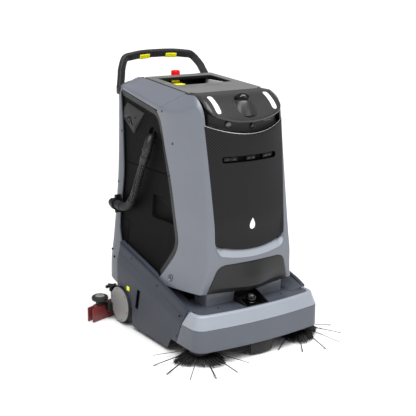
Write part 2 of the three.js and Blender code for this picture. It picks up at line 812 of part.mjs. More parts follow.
const discX = DRIVE.discFace;
const tyreProfile = [
  [68, 280], [84, 280], [DRIVE.radius, 286], [DRIVE.radius, 280 + DRIVE.tread - 4],
  [84, 280 + DRIVE.tread], [68, 280 + DRIVE.tread],
];
addPair("drive_tyre", turned("x", tyreProfile, [DRIVE.y, DRIVE.radius], 36), "rubber");
const wheelProfile = [
  [0.01, 246], [8, 246], [8, 268], [30, 268], [30, 284], [67.7, 284], [67.7, 280 + DRIVE.tread + 0.3],
  [DRIVE.discRadius, 280 + DRIVE.tread + 0.3], [DRIVE.discRadius, discX - 1.5],
  [DRIVE.discRadius - 3, discX], [0.01, discX],
];
addPair("wheel_disc", turned("x", wheelProfile, [DRIVE.y, DRIVE.radius], 36), "disc");

const axleY = CASTER.y + CASTER.trail;
const forkLeg = (x) => box(x - 2.5, x + 2.5, axleY - 11, axleY + 11, CASTER.radius - 10, 84);
const fork = cut(
  joined(
    cylinder("z", 30, 82, CASTER.plateZ + 6, [CASTER.x, CASTER.y], 24),
    cylinder("z", 11.5, CASTER.plateZ, CHASSIS.z + 16, [CASTER.x, CASTER.y], 20),
    box(CASTER.x - 19, CASTER.x + 19, -14, axleY + 11, 79, 84),
    forkLeg(CASTER.x - 16.5),
    forkLeg(CASTER.x + 16.5),
  ),
  cylinder("x", 4.3, CASTER.x - 30, CASTER.x + 30, [axleY, CASTER.radius], 16),
);
addPair("caster_fork", fork, "steel");
const half = CASTER.width / 2;
addPair(
  "caster_wheel",
  joined(
    turned(
      "x",
      [
        [0.01, CASTER.x - half], [30, CASTER.x - half], [CASTER.radius, CASTER.x - half + 5],
        [CASTER.radius, CASTER.x + half - 5], [30, CASTER.x + half], [0.01, CASTER.x + half],
      ],
      [axleY, CASTER.radius],
      28,
    ),
    cylinder("x", 4, CASTER.x - 19, CASTER.x + 19, [axleY, CASTER.radius], 16),
  ),
  "rubber",
);

// ---------------------------------------------------------------- scrub deck and brushes
const deckBox = (inset, z0, z1) => box(
  -SCRUB.deckHalf + inset,
  SCRUB.deckHalf - inset,
  SCRUB.y - SCRUB.deckDepth + inset,
  SCRUB.y + SCRUB.deckDepth - inset,
  z0,
  z1,
);
const deckPlate = deckBox(0, 62, 68);
const deckRim = cut(deckBox(0, 24, 64), deckBox(3, 20, 62.5));
const casterBite = [-1, 1].map((s) => cylinder("z", 66, 0, 100, [s * CASTER.x, CASTER.y], 24));
const brushMotor = (x) => cylinder("z", 34, 67.5, 90, [x, SCRUB.y], 24);
const liftMast = box(-12, 12, SCRUB.y - 12, SCRUB.y + 12, 67.5, 150);
const deckHole = (x) => cylinder("z", 10.3, 40, 80, [x, SCRUB.y], 20);
add(
  "scrub_deck",
  cut(
    joined(deckPlate, deckRim, brushMotor(-SCRUB.x), brushMotor(SCRUB.x), liftMast),
    ...casterBite,
    deckHole(-SCRUB.x),
    deckHole(SCRUB.x),
  ),
  "black",
);
const scrubProfile = [
  [0.01, 76], [10, 76], [10, 60], [40, 60], [40, 50], [SCRUB.radius - 12, 46], [SCRUB.radius, 0],
  [60, 0], [50, 30], [0.01, 30],
];
addPair("scrub_brush", turned("z", scrubProfile, [SCRUB.x, SCRUB.y], 36), "darkGrey");

// A side brush: a domed hub with thin tufts that slope down to the floor from one point above it.
function sideBrush(firstAngle) {
  const hub = turned(
    "z",
    [
      [0.01, 26], [SIDE_BRUSH.hubRadius - 8, 26], [SIDE_BRUSH.hubRadius, 32],
      [SIDE_BRUSH.hubRadius - 8, 48], [12, 54], [9, 57], [9, 78], [0.01, 78],
    ],
    [0, 0],
    24,
  );
  const tuft = (angle) => {
    const slope = Math.atan2(SIDE_BRUSH.apexZ, SIDE_BRUSH.radius);
    const from = 30;
    const length = SIDE_BRUSH.radius / Math.cos(slope) - 2;
    const geometry = new THREE.CylinderGeometry(1.6, 3, length - from, 5).rotateZ(-Math.PI / 2);
    geometry.translate((length + from) / 2, 0, 0).rotateY(slope).translate(
      0,
      0,
      SIDE_BRUSH.apexZ + 2,
    ).rotateZ(radians(angle));
    return solidOf(geometry);
  };
  const tufts = Array.from(
    { length: SIDE_BRUSH.tufts },
    (_, i) => tuft(firstAngle + (i * 360) / SIDE_BRUSH.tufts),
  );
  return joined(hub, ...tufts).intersect(
    box(-250, 250, -250, 250, 0.5, 90),
  ).translate([0, SIDE_BRUSH.y, 0]);
}
add("side_brush_left", sideBrush(15).translate([-SIDE_BRUSH.x, 0, 0]), "rubber");
add("side_brush_right", sideBrush(0).translate([SIDE_BRUSH.x, 0, 0]), "rubber");
const brushArm = cut(
  joined(
    cylinder("z", 30, 62, 150, [SIDE_BRUSH.x, SIDE_BRUSH.y], 24),
    box(SIDE_BRUSH.x - 14, SIDE_BRUSH.x + 14, SIDE_BRUSH.y, -206, 100, 112),
    box(SIDE_BRUSH.x - 30, SIDE_BRUSH.x + 8, -216, -204, 100, 172),
  ),
  cylinder("z", 9.5, 40, 90, [SIDE_BRUSH.x, SIDE_BRUSH.y], 20),
);
addPair("side_brush_arm", brushArm, "black");

// ---------------------------------------------------------------- squeegee
const squeegeeY = (x) => lerp(SQUEEGEE.centreY, SQUEEGEE.endY, (x / SQUEEGEE.endX) ** 2);
const STEPS = 14;
const along = (offset) => Array.from({ length: STEPS + 1 }, (_, i) => {
  const x = lerp(-SQUEEGEE.endX, SQUEEGEE.endX, i / STEPS);
  return [x, squeegeeY(x) + offset];
});
// A bar that follows the squeegee's curve between two offsets behind its front line.
const curvedBar = (half, front, rear, z0, z1) =>
  prismZ(
    [...along(front), ...along(rear).reverse()],
    z0,
    z1,
  ).intersect(box(-half, half, 200, 600, z0 - 1, z1 + 1));
const frameTop = curvedBar(SQUEEGEE.endX - 30, 7, 31, 58, SQUEEGEE.height);
const frameWeb = curvedBar(SQUEEGEE.endX - 24, 7, 31, 26, 58.5);
const port = cylinder("z", 24, SQUEEGEE.height - 0.5, 104, [0, squeegeeY(0) + 8], 20);
const channel = curvedBar(120, 13, 25, 10, 52);
const armBar = joined(
  box(PIVOT.x - 12, PIVOT.x - 6, PIVOT.y - 10, squeegeeY(PIVOT.x) + 10, 88, 108),
  box(
    PIVOT.x - 14,
    PIVOT.x + 14,
    squeegeeY(PIVOT.x) + 9,
    squeegeeY(PIVOT.x) + 27,
    SQUEEGEE.height - 0.5,
    108,
  ),
);
const knobPost = [-1, 1].map(
  (s) => cylinder("z", 6, SQUEEGEE.height - 0.5, 112, [s * 300, squeegeeY(300) + 18], 16),
);
const rollerPost = [-1, 1].map(
  (s) => joined(
    box(s * 372 - 10, s * 372 + 10, squeegeeY(372) + 11, squeegeeY(372) + 27, 60, 84),
    cylinder("z", 5, 80, 116, [s * 372, squeegeeY(372) + 20], 16),
  ),
);
const armPin = cylinder("x", PIVOT.pin, -PIVOT.x - 8, PIVOT.x + 8, [PIVOT.y, PIVOT.z], 16);
add("squeegee_frame", cut(joined(frameTop, frameWeb, port, ...knobPost, ...rollerPost), channel,
  cylinder("z", 18, 20, 120, [0, squeegeeY(0) + 19], 20)), "squeegeeRed");
add(
  "squeegee_arm",
  cut(
    joined(armBar, mirrored(armBar), armPin, box(-80, 80, 356, 368, 90, 106)),
    grown(joined(frameTop, port), 0.3),
  ),
  "black",
);
add("squeegee_blade_front", curvedBar(SQUEEGEE.endX, 1, 6.7, 1.5, 66), "squeegeeRed");
add("squeegee_blade_rear", curvedBar(SQUEEGEE.endX, 31.3, 37, 1, 66), "squeegeeRed");
const roller = turned(
  "z",
  [[5.3, 86], [30, 86], [38, 92], [38, 106], [30, 112], [5.3, 112]],
  [372, squeegeeY(372) + 20],
  28,
);
addPair("guard_roller", roller, "rubber");
const knob = cut(
  joined(
    cylinder("z", 12, 100, 132, [300, squeegeeY(300) + 18], 20),
    ...[0, 60, 120].map(
      (a) => solidOf(
        new THREE.BoxGeometry(64, 16, 13).rotateZ(radians(a)).translate(300, squeegeeY(300) + 18, 137),
      ),
    ),
  ),
  cylinder("z", 6.3, 90, 118, [300, squeegeeY(300) + 18], 16),
);
addPair("squeegee_knob", knob, "black");

// ---------------------------------------------------------------- tanks, battery, vacuum and electronics
// A moulded tank that follows the covers at a clearance, open at its mouths.
function tank(y0, y1, z0, z1, ...mouths) {
  const blank = (w) => box(
    -TANK.half + w,
    TANK.half - w,
    y0 + w,
    y1 - w,
    z0 + w,
    z1 - w,
  ).intersect(towerForm(TANK.clearance + w));
  return cut(blank(0), blank(TANK.wall), ...mouths);
}
add("battery_pack", box(-180, 180, -138, 95, CHASSIS.z + CHASSIS.plate + 0.3, 330), "black");
add("solution_tank", tank(-232, 340, 345, 600, cylinder("z", 40, 580, 620, [0, -150], 20)), "tank");
add("recovery_tank", tank(-195, 230, 612, 915, cylinder("z", 90, 900, 930, [0, 0], 24),
  cylinder("x", 18, -240, -200, HOSE.stub, 16)), "tank");
add(
  "vacuum_motor",
  joined(cylinder("z", 70, 620, 760, [0, 320], 28), cylinder("z", 45, 759, 800, [0, 320], 24)),
  "black",
);

// ---------------------------------------------------------------- drain hose on the left side
const pocketStub = cut(
  cylinder("x", HOSE.radius - 4, -266, -226, HOSE.stub, 16),
  cylinder("x", 12, -300, -200, HOSE.stub, 16),
);
const hosePath = [
  [-262, 104, 878], [-265, 98, 845], [-270, 114, 795], [-273, 147, 731], [-276, 172, 678],
  [-279, 198, 622], [-284, 220, 580], [-289, 244, 552], [-HOSE.x, 276, HOSE.z],
  [-HOSE.x, HOSE.endY - 12, HOSE.z],
];
const hoseTube = tube(hosePath, HOSE.radius, 6, 32);
const pocketRoom = box(-300, -200, POCKET.y0 + 1, POCKET.y1 - 1, POCKET.z0 + 1, POCKET.z1 - 1);
add("drain_hose", largest(cut(joined(hoseTube, pocketStub), cut(towerForm(-1.5), pocketRoom),
  box(-340, -230, HOSE.capY - 0.5, HOSE.endY + 2, HOSE.z - 40, HOSE.z + 40))), "rubber");
add(
  "drain_cap",
  cylinder("y", HOSE.radius + 2, HOSE.capY, HOSE.endY, [-HOSE.x, HOSE.z], 16, HOSE.radius),
  "rubber",
);
const clipRing = cylinder("y", HOSE.radius + 8, HOSE.clipY, HOSE.clipY + 20, [-HOSE.x, HOSE.z], 20);
const clipFoot = box(-286, -262, HOSE.clipY, HOSE.clipY + 20, HOSE.z - 24, HOSE.z + 24);
const clipBore = cylinder("y", HOSE.radius + 2.5, HOSE.clipY - 10, HOSE.clipY + 30, [-HOSE.x, HOSE.z], 20);
add("hose_clip", largest(cut(joined(clipRing, clipFoot), clipBore, towerForm(-0.4))), "black");

// ---------------------------------------------------------------- push handle
// One side of the handle leans back and in as it rises; the cross bar bows to the rear between them.
function handleFrame() {
  const corner = 46;
  const lean = (t) => [
    lerp(HANDLE.baseHalf, HANDLE.topHalf, t), lerp(HANDLE.baseY, HANDLE.topY, t),
    lerp(HANDLE.baseZ, HANDLE.topZ, t),
  ];
  const [x1, y1, z1] = lean(1);
  const [x0, y0, z0] = lean(0);
  const turn = lean(1 - corner / (HANDLE.topZ - HANDLE.baseZ));
  const rightHalf = [
    [x0, y0, z0], lean(0.4), turn, [x1 - 12, y1 + 2, z1 - 6], [x1 - corner - 4, y1 + 7, z1 + 3],
    [x1 * 0.4, y1 + HANDLE.bow * 0.85, z1 + 9],
  ];
  const path = [...mirrorX(rightHalf), [0, y1 + HANDLE.bow, z1 + 10], ...rightHalf.slice().reverse()];
  const curve = new THREE.CatmullRomCurve3(
    path.map((p) => new THREE.Vector3(...p)),
    false,
    "centripetal",
  );
  const sections = Array.from({ length: 37 }, (_, i) => {
    const at = curve.getPointAt(i / 36);
    const along = curve.getTangentAt(i / 36);
    const deep = new THREE.Vector3(0, 1, 0.42).normalize();
    const wide = new THREE.Vector3().crossVectors(along, deep).normalize();
    const thick = new THREE.Vector3().crossVectors(wide, along).normalize();
    return [[-1, -0.6], [-0.7, -1], [0.7, -1], [1, -0.6], [1, 0.6], [0.7, 1], [-0.7, 1], [-1, 0.6]].map(
      ([u, v]) => at.clone().addScaledVector(wide, (u * HANDLE.bar) / 2).addScaledVector(
        thick,
        (v * HANDLE.depth) / 2,
      ).toArray(),
    );
  });
  const foot = solidOf(
    new THREE.BoxGeometry(20, 44, 60).translate(
      HANDLE.baseHalf - 2,
      HANDLE.baseY - 8,
      HANDLE.baseZ - 22,
    ),
  );
  return { bar: loft(sections, ([, y, z]) => [y, z]), foot };
}
const { bar, foot } = handleFrame();
const padBox = (x) => box(x - 27, x + 27, 430, 490, 1150, 1230);
const padBite = (x, shell) => shell.intersect(padBox(x));
const handleSolid = cut(
  joined(bar, foot, mirrored(foot)),
  tower.add(
    tower.translate([0, 0.4, 0.4]),
  ).add(tower.translate([0.4, 0, 0])).add(tower.translate([-0.4, 0, 0])),
);
add("push_handle", largest(handleSolid), "black");
for (const [side, sign] of Object.entries(SIDES)) {
  const sleeve = cut(
    padBite(sign * 70, bar.translate([0, -6, 1])),
    grown(bar.translate([0, -3, 0.5]), 0.3),
    grown(bar, 0.3),
  );
  add(`handle_pad_${side}`, largest(sleeve), "yellow");
}

export default scrubber;
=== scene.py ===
"""Looks of the wet and dry floor scrubber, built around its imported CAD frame.

Shapes are written in millimetres in the CAD's own frame (+Z up, the front faces -Y, origin on the floor)
and turned into metres as each mesh is made. Covers are grids laid on the tower's own surface formulas,
given a wall and a rounded edge by modifiers.
"""

import math
import random

import bmesh
import bpy
from mathutils import Matrix, Vector


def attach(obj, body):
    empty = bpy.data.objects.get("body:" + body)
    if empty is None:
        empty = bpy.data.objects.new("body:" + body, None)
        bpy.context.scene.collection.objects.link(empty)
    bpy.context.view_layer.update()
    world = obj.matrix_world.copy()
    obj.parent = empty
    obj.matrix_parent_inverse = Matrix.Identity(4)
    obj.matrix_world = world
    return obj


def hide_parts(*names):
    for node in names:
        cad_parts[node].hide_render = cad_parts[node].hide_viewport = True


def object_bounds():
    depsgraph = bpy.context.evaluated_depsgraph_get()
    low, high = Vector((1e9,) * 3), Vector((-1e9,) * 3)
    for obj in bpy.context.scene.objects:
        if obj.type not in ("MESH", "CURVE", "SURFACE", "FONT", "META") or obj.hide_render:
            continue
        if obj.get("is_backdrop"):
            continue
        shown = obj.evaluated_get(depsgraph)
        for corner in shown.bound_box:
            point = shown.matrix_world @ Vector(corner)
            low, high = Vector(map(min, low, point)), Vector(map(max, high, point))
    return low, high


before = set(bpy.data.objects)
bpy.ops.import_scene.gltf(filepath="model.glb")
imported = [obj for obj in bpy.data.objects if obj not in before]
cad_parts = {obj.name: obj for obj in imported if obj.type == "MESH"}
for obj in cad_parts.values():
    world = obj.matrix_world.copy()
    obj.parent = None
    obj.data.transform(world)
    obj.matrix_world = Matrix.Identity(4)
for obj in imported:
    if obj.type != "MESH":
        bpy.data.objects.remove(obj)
cad_low, cad_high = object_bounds()

MM = 0.001
ESTOP_AXIS = (0, 307)
SCANNER_AXIS = (0, -282)
DRIVE_AXIS = (275, 90)
SWEEPER_AXIS = (250, -276)
LEFT, RIGHT = -1, 1
SIDE_NAMES = {LEFT: "left", RIGHT: "right"}


# ------------------------------------------------------------------ camera, light and stage
def make_camera():
    """A long lens a little above the machine, off its front left corner."""
    data = bpy.data.cameras.new("camera")
    data.lens = 81.9
    data.sensor_width = 36
    data.clip_end = 100
    camera = bpy.data.objects.new("camera", data)
    camera.location = (-2.2314, -3.3113, 1.5598)
    target = Vector((0, 0.0445, 0.5416))
    camera.rotation_mode = "QUATERNION"
    camera.rotation_quaternion = (target - camera.location).to_track_quat("-Z", "Y")
    bpy.context.collection.objects.link(camera)
    bpy.context.scene.camera = camera


def area_light(name, place, target, size, power):
    data = bpy.data.lights.new(name, "AREA")
    data.shape = "RECTANGLE"
    data.size, data.size_y = size
    data.energy = power
    light = bpy.data.objects.new(name, data)
    light.location = place
    light.rotation_mode = "QUATERNION"
    light.rotation_quaternion = (Vector(target) - Vector(place)).to_track_quat("-Z", "Y")
    bpy.context.collection.objects.link(light)


def make_studio():
    world = bpy.data.worlds.new("studio")
    world.use_nodes = True
    background = world.node_tree.nodes["Background"]
    background.inputs["Color"].default_value = (1, 1, 1, 1)
    background.inputs["Strength"].default_value = 0.3
    bpy.context.scene.world = world
    bpy.context.scene.view_settings.view_transform = "Standard"
    key = bpy.data.lights.new("key", "SUN")
    key.energy = 3.4
    key.angle = math.radians(50)
    sun = bpy.data.objects.new("key", key)
    sun.rotation_mode = "QUATERNION"
    sun.rotation_quaternion = Vector((0.02, 0.3, -1)).to_track_quat("-Z", "Y")
    bpy.context.collection.objects.link(sun)
    area_light("left_softbox", (-2.5, -1.2, 3.2), (0, 0, 0.9), (1.8, 1.8), 46)
    area_light("front_softbox", (0.8, -3.6, 2.4), (0, 0, 0.5), (2.0, 1.4), 18)


def make_floor():
    bm = bmesh.new()
    bmesh.ops.create_grid(bm, x_segments=2, y_segments=2, size=70)
    mesh = bpy.data.meshes.new("floor")
    bm.to_mesh(mesh)
    bm.free()
    floor = bpy.data.objects.new("floor", mesh)
    floor.location.z = -0.0015
    material = bpy.data.materials.new("floor")
    material.use_nodes = True
    shader = material.node_tree.nodes["Principled BSDF"]
    shader.inputs["Base Color"].default_value = (0.95, 0.95, 0.95, 1)
    shader.inputs["Roughness"].default_value = 0.7
    mesh.materials.append(material)
    bpy.context.collection.objects.link(floor)
    floor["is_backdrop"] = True


# ------------------------------------------------------------------ materials
def srgb(r, g, b):
    """An 8-bit display colour as linear values."""
    return tuple(
        ((c / 255 + 0.055) / 1.055) ** 2.4 if c > 10 else c / 255 / 12.92
        for c in (r, g, b)
    ) + (1,)


def scaled(colour, factor):
    return tuple(min(1, c * factor) for c in colour[:3]) + (1,)


def noise(nodes, links, coordinates, scale, detail=3):
    texture = nodes.new("ShaderNodeTexNoise")
    texture.inputs["Scale"].default_value = scale
    texture.inputs["Detail"].default_value = detail
    links.new(coordinates, texture.inputs["Vector"])
    return texture.outputs["Fac"]


def ramp(nodes, links, factor, low, high, start=0.35, end=0.65):
    made = nodes.new("ShaderNodeValToRGB")
    made.color_ramp.elements[0].position = start
    made.color_ramp.elements[0].color = low
    made.color_ramp.elements[1].position = end
    made.color_ramp.elements[1].color = high
    links.new(factor, made.inputs["Fac"])
    return made.outputs["Color"]


def spread(nodes, links, factor, low, high):
    made = nodes.new("ShaderNodeMapRange")
    made.inputs["To Min"].default_value = low
    made.inputs["To Max"].default_value = high
    links.new(factor, made.inputs["Value"])
    return made.outputs["Result"]


def relief(nodes, links, shader, height, strength, distance, invert=False):
    bump = nodes.new("ShaderNodeBump")
    bump.inputs["Strength"].default_value = strength
    bump.inputs["Distance"].default_value = distance
    bump.invert = invert
    links.new(height, bump.inputs["Height"])
    links.new(bump.outputs["Normal"], shader.inputs["Normal"])


def start_material(name):
    material = bpy.data.materials.new(name)
    material.use_nodes = True
    tree = material.node_tree
    shader = tree.nodes["Principled BSDF"]
    place = tree.nodes.new("ShaderNodeTexCoord").outputs["Object"]
    return material, tree.nodes, tree.links, shader, place


def plastic(name, colour, roughness, grain=0.05, grain_scale=1400, coat=0, mottle=0.06, specular=0.5):
    """Moulded or painted plastic: a faint cloudy tone, uneven gloss and a fine moulded grain."""
    material, nodes, links, shader, place = start_material(name)
    cloud = noise(nodes, links, place, 7)
    tone = ramp(nodes, links, cloud, scaled(colour, 1 - mottle), scaled(colour, 1 + mottle))
    links.new(tone, shader.inputs["Base Color"])
    wear = noise(nodes, links, place, 38, 5)
    links.new(spread(nodes, links, wear, roughness - 0.05, roughness + 0.06), shader.inputs["Roughness"])
    relief(nodes, links, shader, noise(nodes, links, place, grain_scale, 2), grain, 0.0004)
    shader.inputs["Coat Weight"].default_value = coat
    shader.inputs["Coat Roughness"].default_value = 0.15
    shader.inputs["Specular IOR Level"].default_value = specular
    return material


def striped_weave(name, colour, pitch=0.0086, slope=-0.86):
    """Black laminate with fine diagonal stripes under a satin coat."""
    material, nodes, links, shader, place = start_material(name)
    turn = nodes.new("ShaderNodeMapping")
    turn.inputs["Rotation"].default_value = (0, slope, 0)
    links.new(place, turn.inputs["Vector"])
    wave = nodes.new("ShaderNodeTexWave")
    wave.bands_direction = "X"
    wave.inputs["Scale"].default_value = math.pi / 10 / pitch
    wave.inputs["Distortion"].default_value = 0
    links.new(turn.outputs["Vector"], wave.inputs["Vector"])
    tone = ramp(nodes, links, wave.outputs["Fac"], scaled(colour, 0.4), scaled(colour, 1.9), 0.25, 0.75)
    shader.inputs["Specular IOR Level"].default_value = 0.18
    links.new(tone, shader.inputs["Base Color"])
    links.new(spread(nodes, links, noise(nodes, links, place, 30), 0.42, 0.52), shader.inputs["Roughness"])
    relief(nodes, links, shader, wave.outputs["Fac"], 0.12, 0.0003)
    return material


def rubber(name, colour, roughness=0.62):
    """Soft rubber: matt, with a dusty bloom and shallow pores."""
    material, nodes, links, shader, place = start_material(name)
    dust = noise(nodes, links, place, 60, 6)
    links.new(ramp(nodes, links, dust, colour, scaled(colour, 1.5), 0.45, 0.8), shader.inputs["Base Color"])
    links.new(spread(nodes, links, dust, roughness - 0.08, roughness + 0.12), shader.inputs["Roughness"])
    relief(nodes, links, shader, noise(nodes, links, place, 800, 4), 0.15, 0.0005)
    return material


def brushed_metal(name, colour, roughness=0.32):
    material, nodes, links, shader, place = start_material(name)
    stretch = nodes.new("ShaderNodeMapping")
    stretch.inputs["Scale"].default_value = (12, 900, 900)
    links.new(place, stretch.inputs["Vector"])
    lines = noise(nodes, links, stretch.outputs["Vector"], 1)
    tone = ramp(nodes, links, lines, scaled(colour, 0.85), scaled(colour, 1.1))
    links.new(tone, shader.inputs["Base Color"])
    links.new(spread(nodes, links, lines, roughness - 0.06, roughness + 0.1), shader.inputs["Roughness"])
    shader.inputs["Metallic"].default_value = 0.9
    return material


def lamp_lens(name, strength):
    """A white diffuser with a fine honeycomb of optics behind it."""
    material, nodes, links, shader, place = start_material(name)
    cells = nodes.new("ShaderNodeTexVoronoi")
    cells.inputs["Scale"].default_value = 420
    links.new(place, cells.inputs["Vector"])
    tone = ramp(nodes, links, cells.outputs["Distance"], srgb(250, 250, 250), srgb(226, 228, 232), 0.2, 0.9)
    links.new(tone, shader.inputs["Base Color"])
    links.new(tone, shader.inputs["Emission Color"])
    shader.inputs["Emission Strength"].default_value = strength
    shader.inputs["Roughness"].default_value = 0.25
    return material


def woven_hose(name, colour):
    """A hose under a knitted sleeve: crossed fine ridges."""
    material, nodes, links, shader, place = start_material(name)
    cells = nodes.new("ShaderNodeTexVoronoi")
    cells.inputs["Scale"].default_value = 135
    cells.inputs["Randomness"].default_value = 0.15
    links.new(place, cells.inputs["Vector"])
    bright, dark = scaled(colour, 5.5), scaled(colour, 0.12)
    tone = ramp(nodes, links, cells.outputs["Distance"], bright, dark, 0.15, 0.5)
    shader.inputs["Specular IOR Level"].default_value = 0.25
    links.new(tone, shader.inputs["Base Color"])
    shader.inputs["Roughness"].default_value = 0.55
    relief(nodes, links, shader, cells.outputs["Distance"], 0.5, 0.0008, True)
    return material


MATERIALS = {
    "shell": plastic("shell_grey", srgb(108, 112, 121), 0.36, coat=0.15, mottle=0.025),
    "bumper": plastic("bumper_grey", srgb(88, 92, 101), 0.42, mottle=0.03, specular=0.35),
    # rear_grey_painted_shade is the shell paint darkened as painted shade, for the rear cover's shaded side
    # strip
    "rear": plastic("rear_grey_painted_shade", srgb(84, 88, 97), 0.4, coat=0.1, mottle=0.025),
    # brow_grey_painted_highlight is the bumper paint lightened as a painted highlight where the chamfer
    # faces the light
    "brow": plastic("brow_grey_painted_highlight", srgb(146, 151, 160), 0.34, coat=0.2, mottle=0.02),
    "skirt": plastic("skirt_grey", srgb(50, 54, 64), 0.46, specular=0.25, mottle=0.03),
    # the deck grey is a dark grey darkened further as painted shade under the overhanging tower
    "deck": plastic("deck_grey_painted_shade", srgb(68, 72, 81), 0.3, mottle=0.03),
    "door": plastic("door_black", srgb(10, 10, 11), 0.6, grain=0.12, grain_scale=900, specular=0.08),
    # the black lid is given a mid grey as a painted sheen
    "lid": plastic("lid_black_painted_sheen", srgb(112, 112, 113), 0.32, grain=0.05, coat=0.2),
    "visor": plastic("visor_black", srgb(40, 40, 41), 0.34, grain=0.04, coat=0.15),
    "chin": plastic("chin_black", srgb(28, 28, 29), 0.3, grain=0.04, coat=0.05, specular=0.3),
    "pod": plastic("pod_black", srgb(62, 62, 63), 0.6, grain=0.08, grain_scale=900, specular=0.12),
    # the band is given a paler grey than the door as a painted highlight on its bevel
    "band": plastic("band_painted_highlight", srgb(44, 44, 45), 0.5, grain=0.1, grain_scale=900, specular=0.3),
    "trim": plastic("trim_black", srgb(20, 20, 21), 0.42, grain=0.06, specular=0.3),
    "pane": plastic("pane_black", srgb(14, 14, 15), 0.3, grain=0.02, specular=0.25),
    "gloss": plastic("lens_black", srgb(8, 8, 10), 0.1, grain=0.01, coat=0.25, specular=0.45),
    "smoke": plastic("lens_smoke", srgb(78, 78, 80), 0.12, grain=0.01, coat=0.6),
    "handle": plastic("handle_black", srgb(34, 34, 35), 0.5, grain=0.12, grain_scale=1000, specular=0.35),
    "tank": plastic("tank_grey", srgb(196, 197, 199), 0.5, mottle=0.04),
    "moulding": plastic("tank_dark", srgb(30, 31, 33), 0.6, mottle=0.05, specular=0.2),
    "disc": plastic("disc_grey", srgb(132, 131, 130), 0.46, mottle=0.05),
    "yellow": plastic("signal_yellow", srgb(246, 240, 12), 0.42, mottle=0.03),
    "red": plastic("signal_red", srgb(255, 8, 8), 0.4, specular=0.2, mottle=0.04),
    "wine": plastic("squeegee_red", srgb(112, 42, 42), 0.42, mottle=0.08),
    "white": plastic("mark_white", srgb(240, 240, 240), 0.4, mottle=0.02),
    "weave": striped_weave("striped_black", srgb(26, 26, 27)),
    "rubber": rubber("black_rubber", srgb(22, 22, 23)),
    "cuff": rubber("cuff_rubber", srgb(17, 17, 18), 0.45),
    "bristle": rubber("bristle_black", srgb(12, 12, 13), 0.5),
    "hose": woven_hose("hose_sleeve", srgb(31, 31, 32)),
    "steel": brushed_metal("zinc_steel", srgb(170, 172, 174)),
    "silver": brushed_metal("silver_trim", srgb(190, 192, 195), 0.25),
    "screw": plastic("screw_black", srgb(5, 5, 6), 0.5, specular=0.2),
    "lamp": lamp_lens("lamp_white", 0.25),
}


# ------------------------------------------------------------------ mesh tools
def lerp(a, b, t):
    return a + (b - a) * t


def smooth_value(table, at):
    """A smooth curve through [at, value] stations, constant beyond the ends."""
    if at <= table[0][0]:
        return table[0][1]
    if at >= table[-1][0]:
        return table[-1][1]
    k = next(i for i in range(len(table) - 1) if at <= table[i + 1][0])
    x0, y0 = table[k]
    x1, y1 = table[k + 1]

    def slope(i):
        lo, hi = max(i - 1, 0), min(i + 1, len(table) - 1)
        return (table[hi][1] - table[lo][1]) / (table[hi][0] - table[lo][0])

    t = (at - x0) / (x1 - x0)
    h = x1 - x0
    a = 2 * t**3 - 3 * t**2 + 1
    b = t**3 - 2 * t**2 + t
    c = -2 * t**3 + 3 * t**2
    d = t**3 - t**2
    return a * y0 + b * h * slope(k) + c * y1 + d * h * slope(k + 1)


def along_path(points, t):
    """The point at share t of a polyline's length."""
    lengths = [math.dist(a, b) for a, b in zip(points, points[1:])]
    left = t * sum(lengths)
    for a, b, length in zip(points, points[1:], lengths):
        if left <= length:
            return tuple(lerp(p, q, left / length if length else 0) for p, q in zip(a, b))
        left -= length
    return tuple(points[-1])


def rectangle(left, low, right, high):
    return [(left, low), (right, low), (right, high), (left, high)]


def rounded(points, radius, steps=5):
    """A closed outline with its corners rounded."""
    made = []
    for i, corner in enumerate(points):
        corner = Vector(corner)
        before, after = Vector(points[i - 1]), Vector(points[(i + 1) % len(points)])
        into = before - corner
        out = after - corner
        reach = min(radius, into.length * 0.48, out.length * 0.48)
        start, end = corner + into.normalized() * reach, corner + out.normalized() * reach
        for k in range(steps + 1):
            t = k / steps
            made.append(tuple((1 - t) ** 2 * start + 2 * t * (1 - t) * corner + t * t * end))
    return made


def baked(obj):
    """Applies the object's modifiers to its mesh."""
    graph = bpy.context.evaluated_depsgraph_get()
    mesh = bpy.data.meshes.new_from_object(obj.evaluated_get(graph))
    obj.modifiers.clear()
    obj.data = mesh
    return obj


def new_object(name, verts, faces):
    mesh = bpy.data.meshes.new(name)
    mesh.from_pydata([tuple(c * MM for c in v) for v in verts], [], faces)
    mesh.update()
    obj = bpy.data.objects.new(name, mesh)
    bpy.context.collection.objects.link(obj)
    return obj


def cleaned(obj):
    distance = 0.00002
    bm = bmesh.new()
    bm.from_mesh(obj.data)
    bmesh.ops.remove_doubles(bm, verts=bm.verts, dist=distance)
    bmesh.ops.dissolve_degenerate(bm, edges=bm.edges, dist=distance)
    bmesh.ops.recalc_face_normals(bm, faces=bm.faces)
    bm.to_mesh(obj.data)
    bm.free()
    return obj


def shaded(obj, angle=35):
    """Smooth shading that keeps edges sharper than the angle."""
    mesh = obj.data
    mesh.shade_smooth()
    mesh.set_sharp_from_angle(angle=math.radians(angle))
    return obj


def add_bevel(obj, width, segments, angle):
    bevel = obj.modifiers.new("edge", "BEVEL")
    bevel.width = width * MM
    bevel.segments = segments
    bevel.limit_method = "ANGLE"
    bevel.angle_limit = math.radians(angle)


def edged(obj, width, segments=2, angle=40):
    """Rounds the edges sharper than the angle."""
    add_bevel(obj, width, segments, angle)
    return baked(obj)


SLOTS = {
    "body_grey": ("shell", "bumper", "rear", "brow"),
    "dark_grey": ("skirt", "deck"),
    "black_plastic": ("door", "lid", "visor", "chin", "pod", "band", "trim", "handle", "screw", "weave"),
    "black_gloss": ("gloss", "pane", "smoke"),
    "rubber": ("rubber", "cuff", "hose", "bristle"),
    "lamp_white": ("white", "lamp"),
    "zinc_steel": ("steel", "silver"),
    "tank_grey": ("tank",),
    "disc_grey": ("disc",),
    "signal_red": ("red",),
    "squeegee_red": ("wine",),
    "yellow": ("yellow",),
}


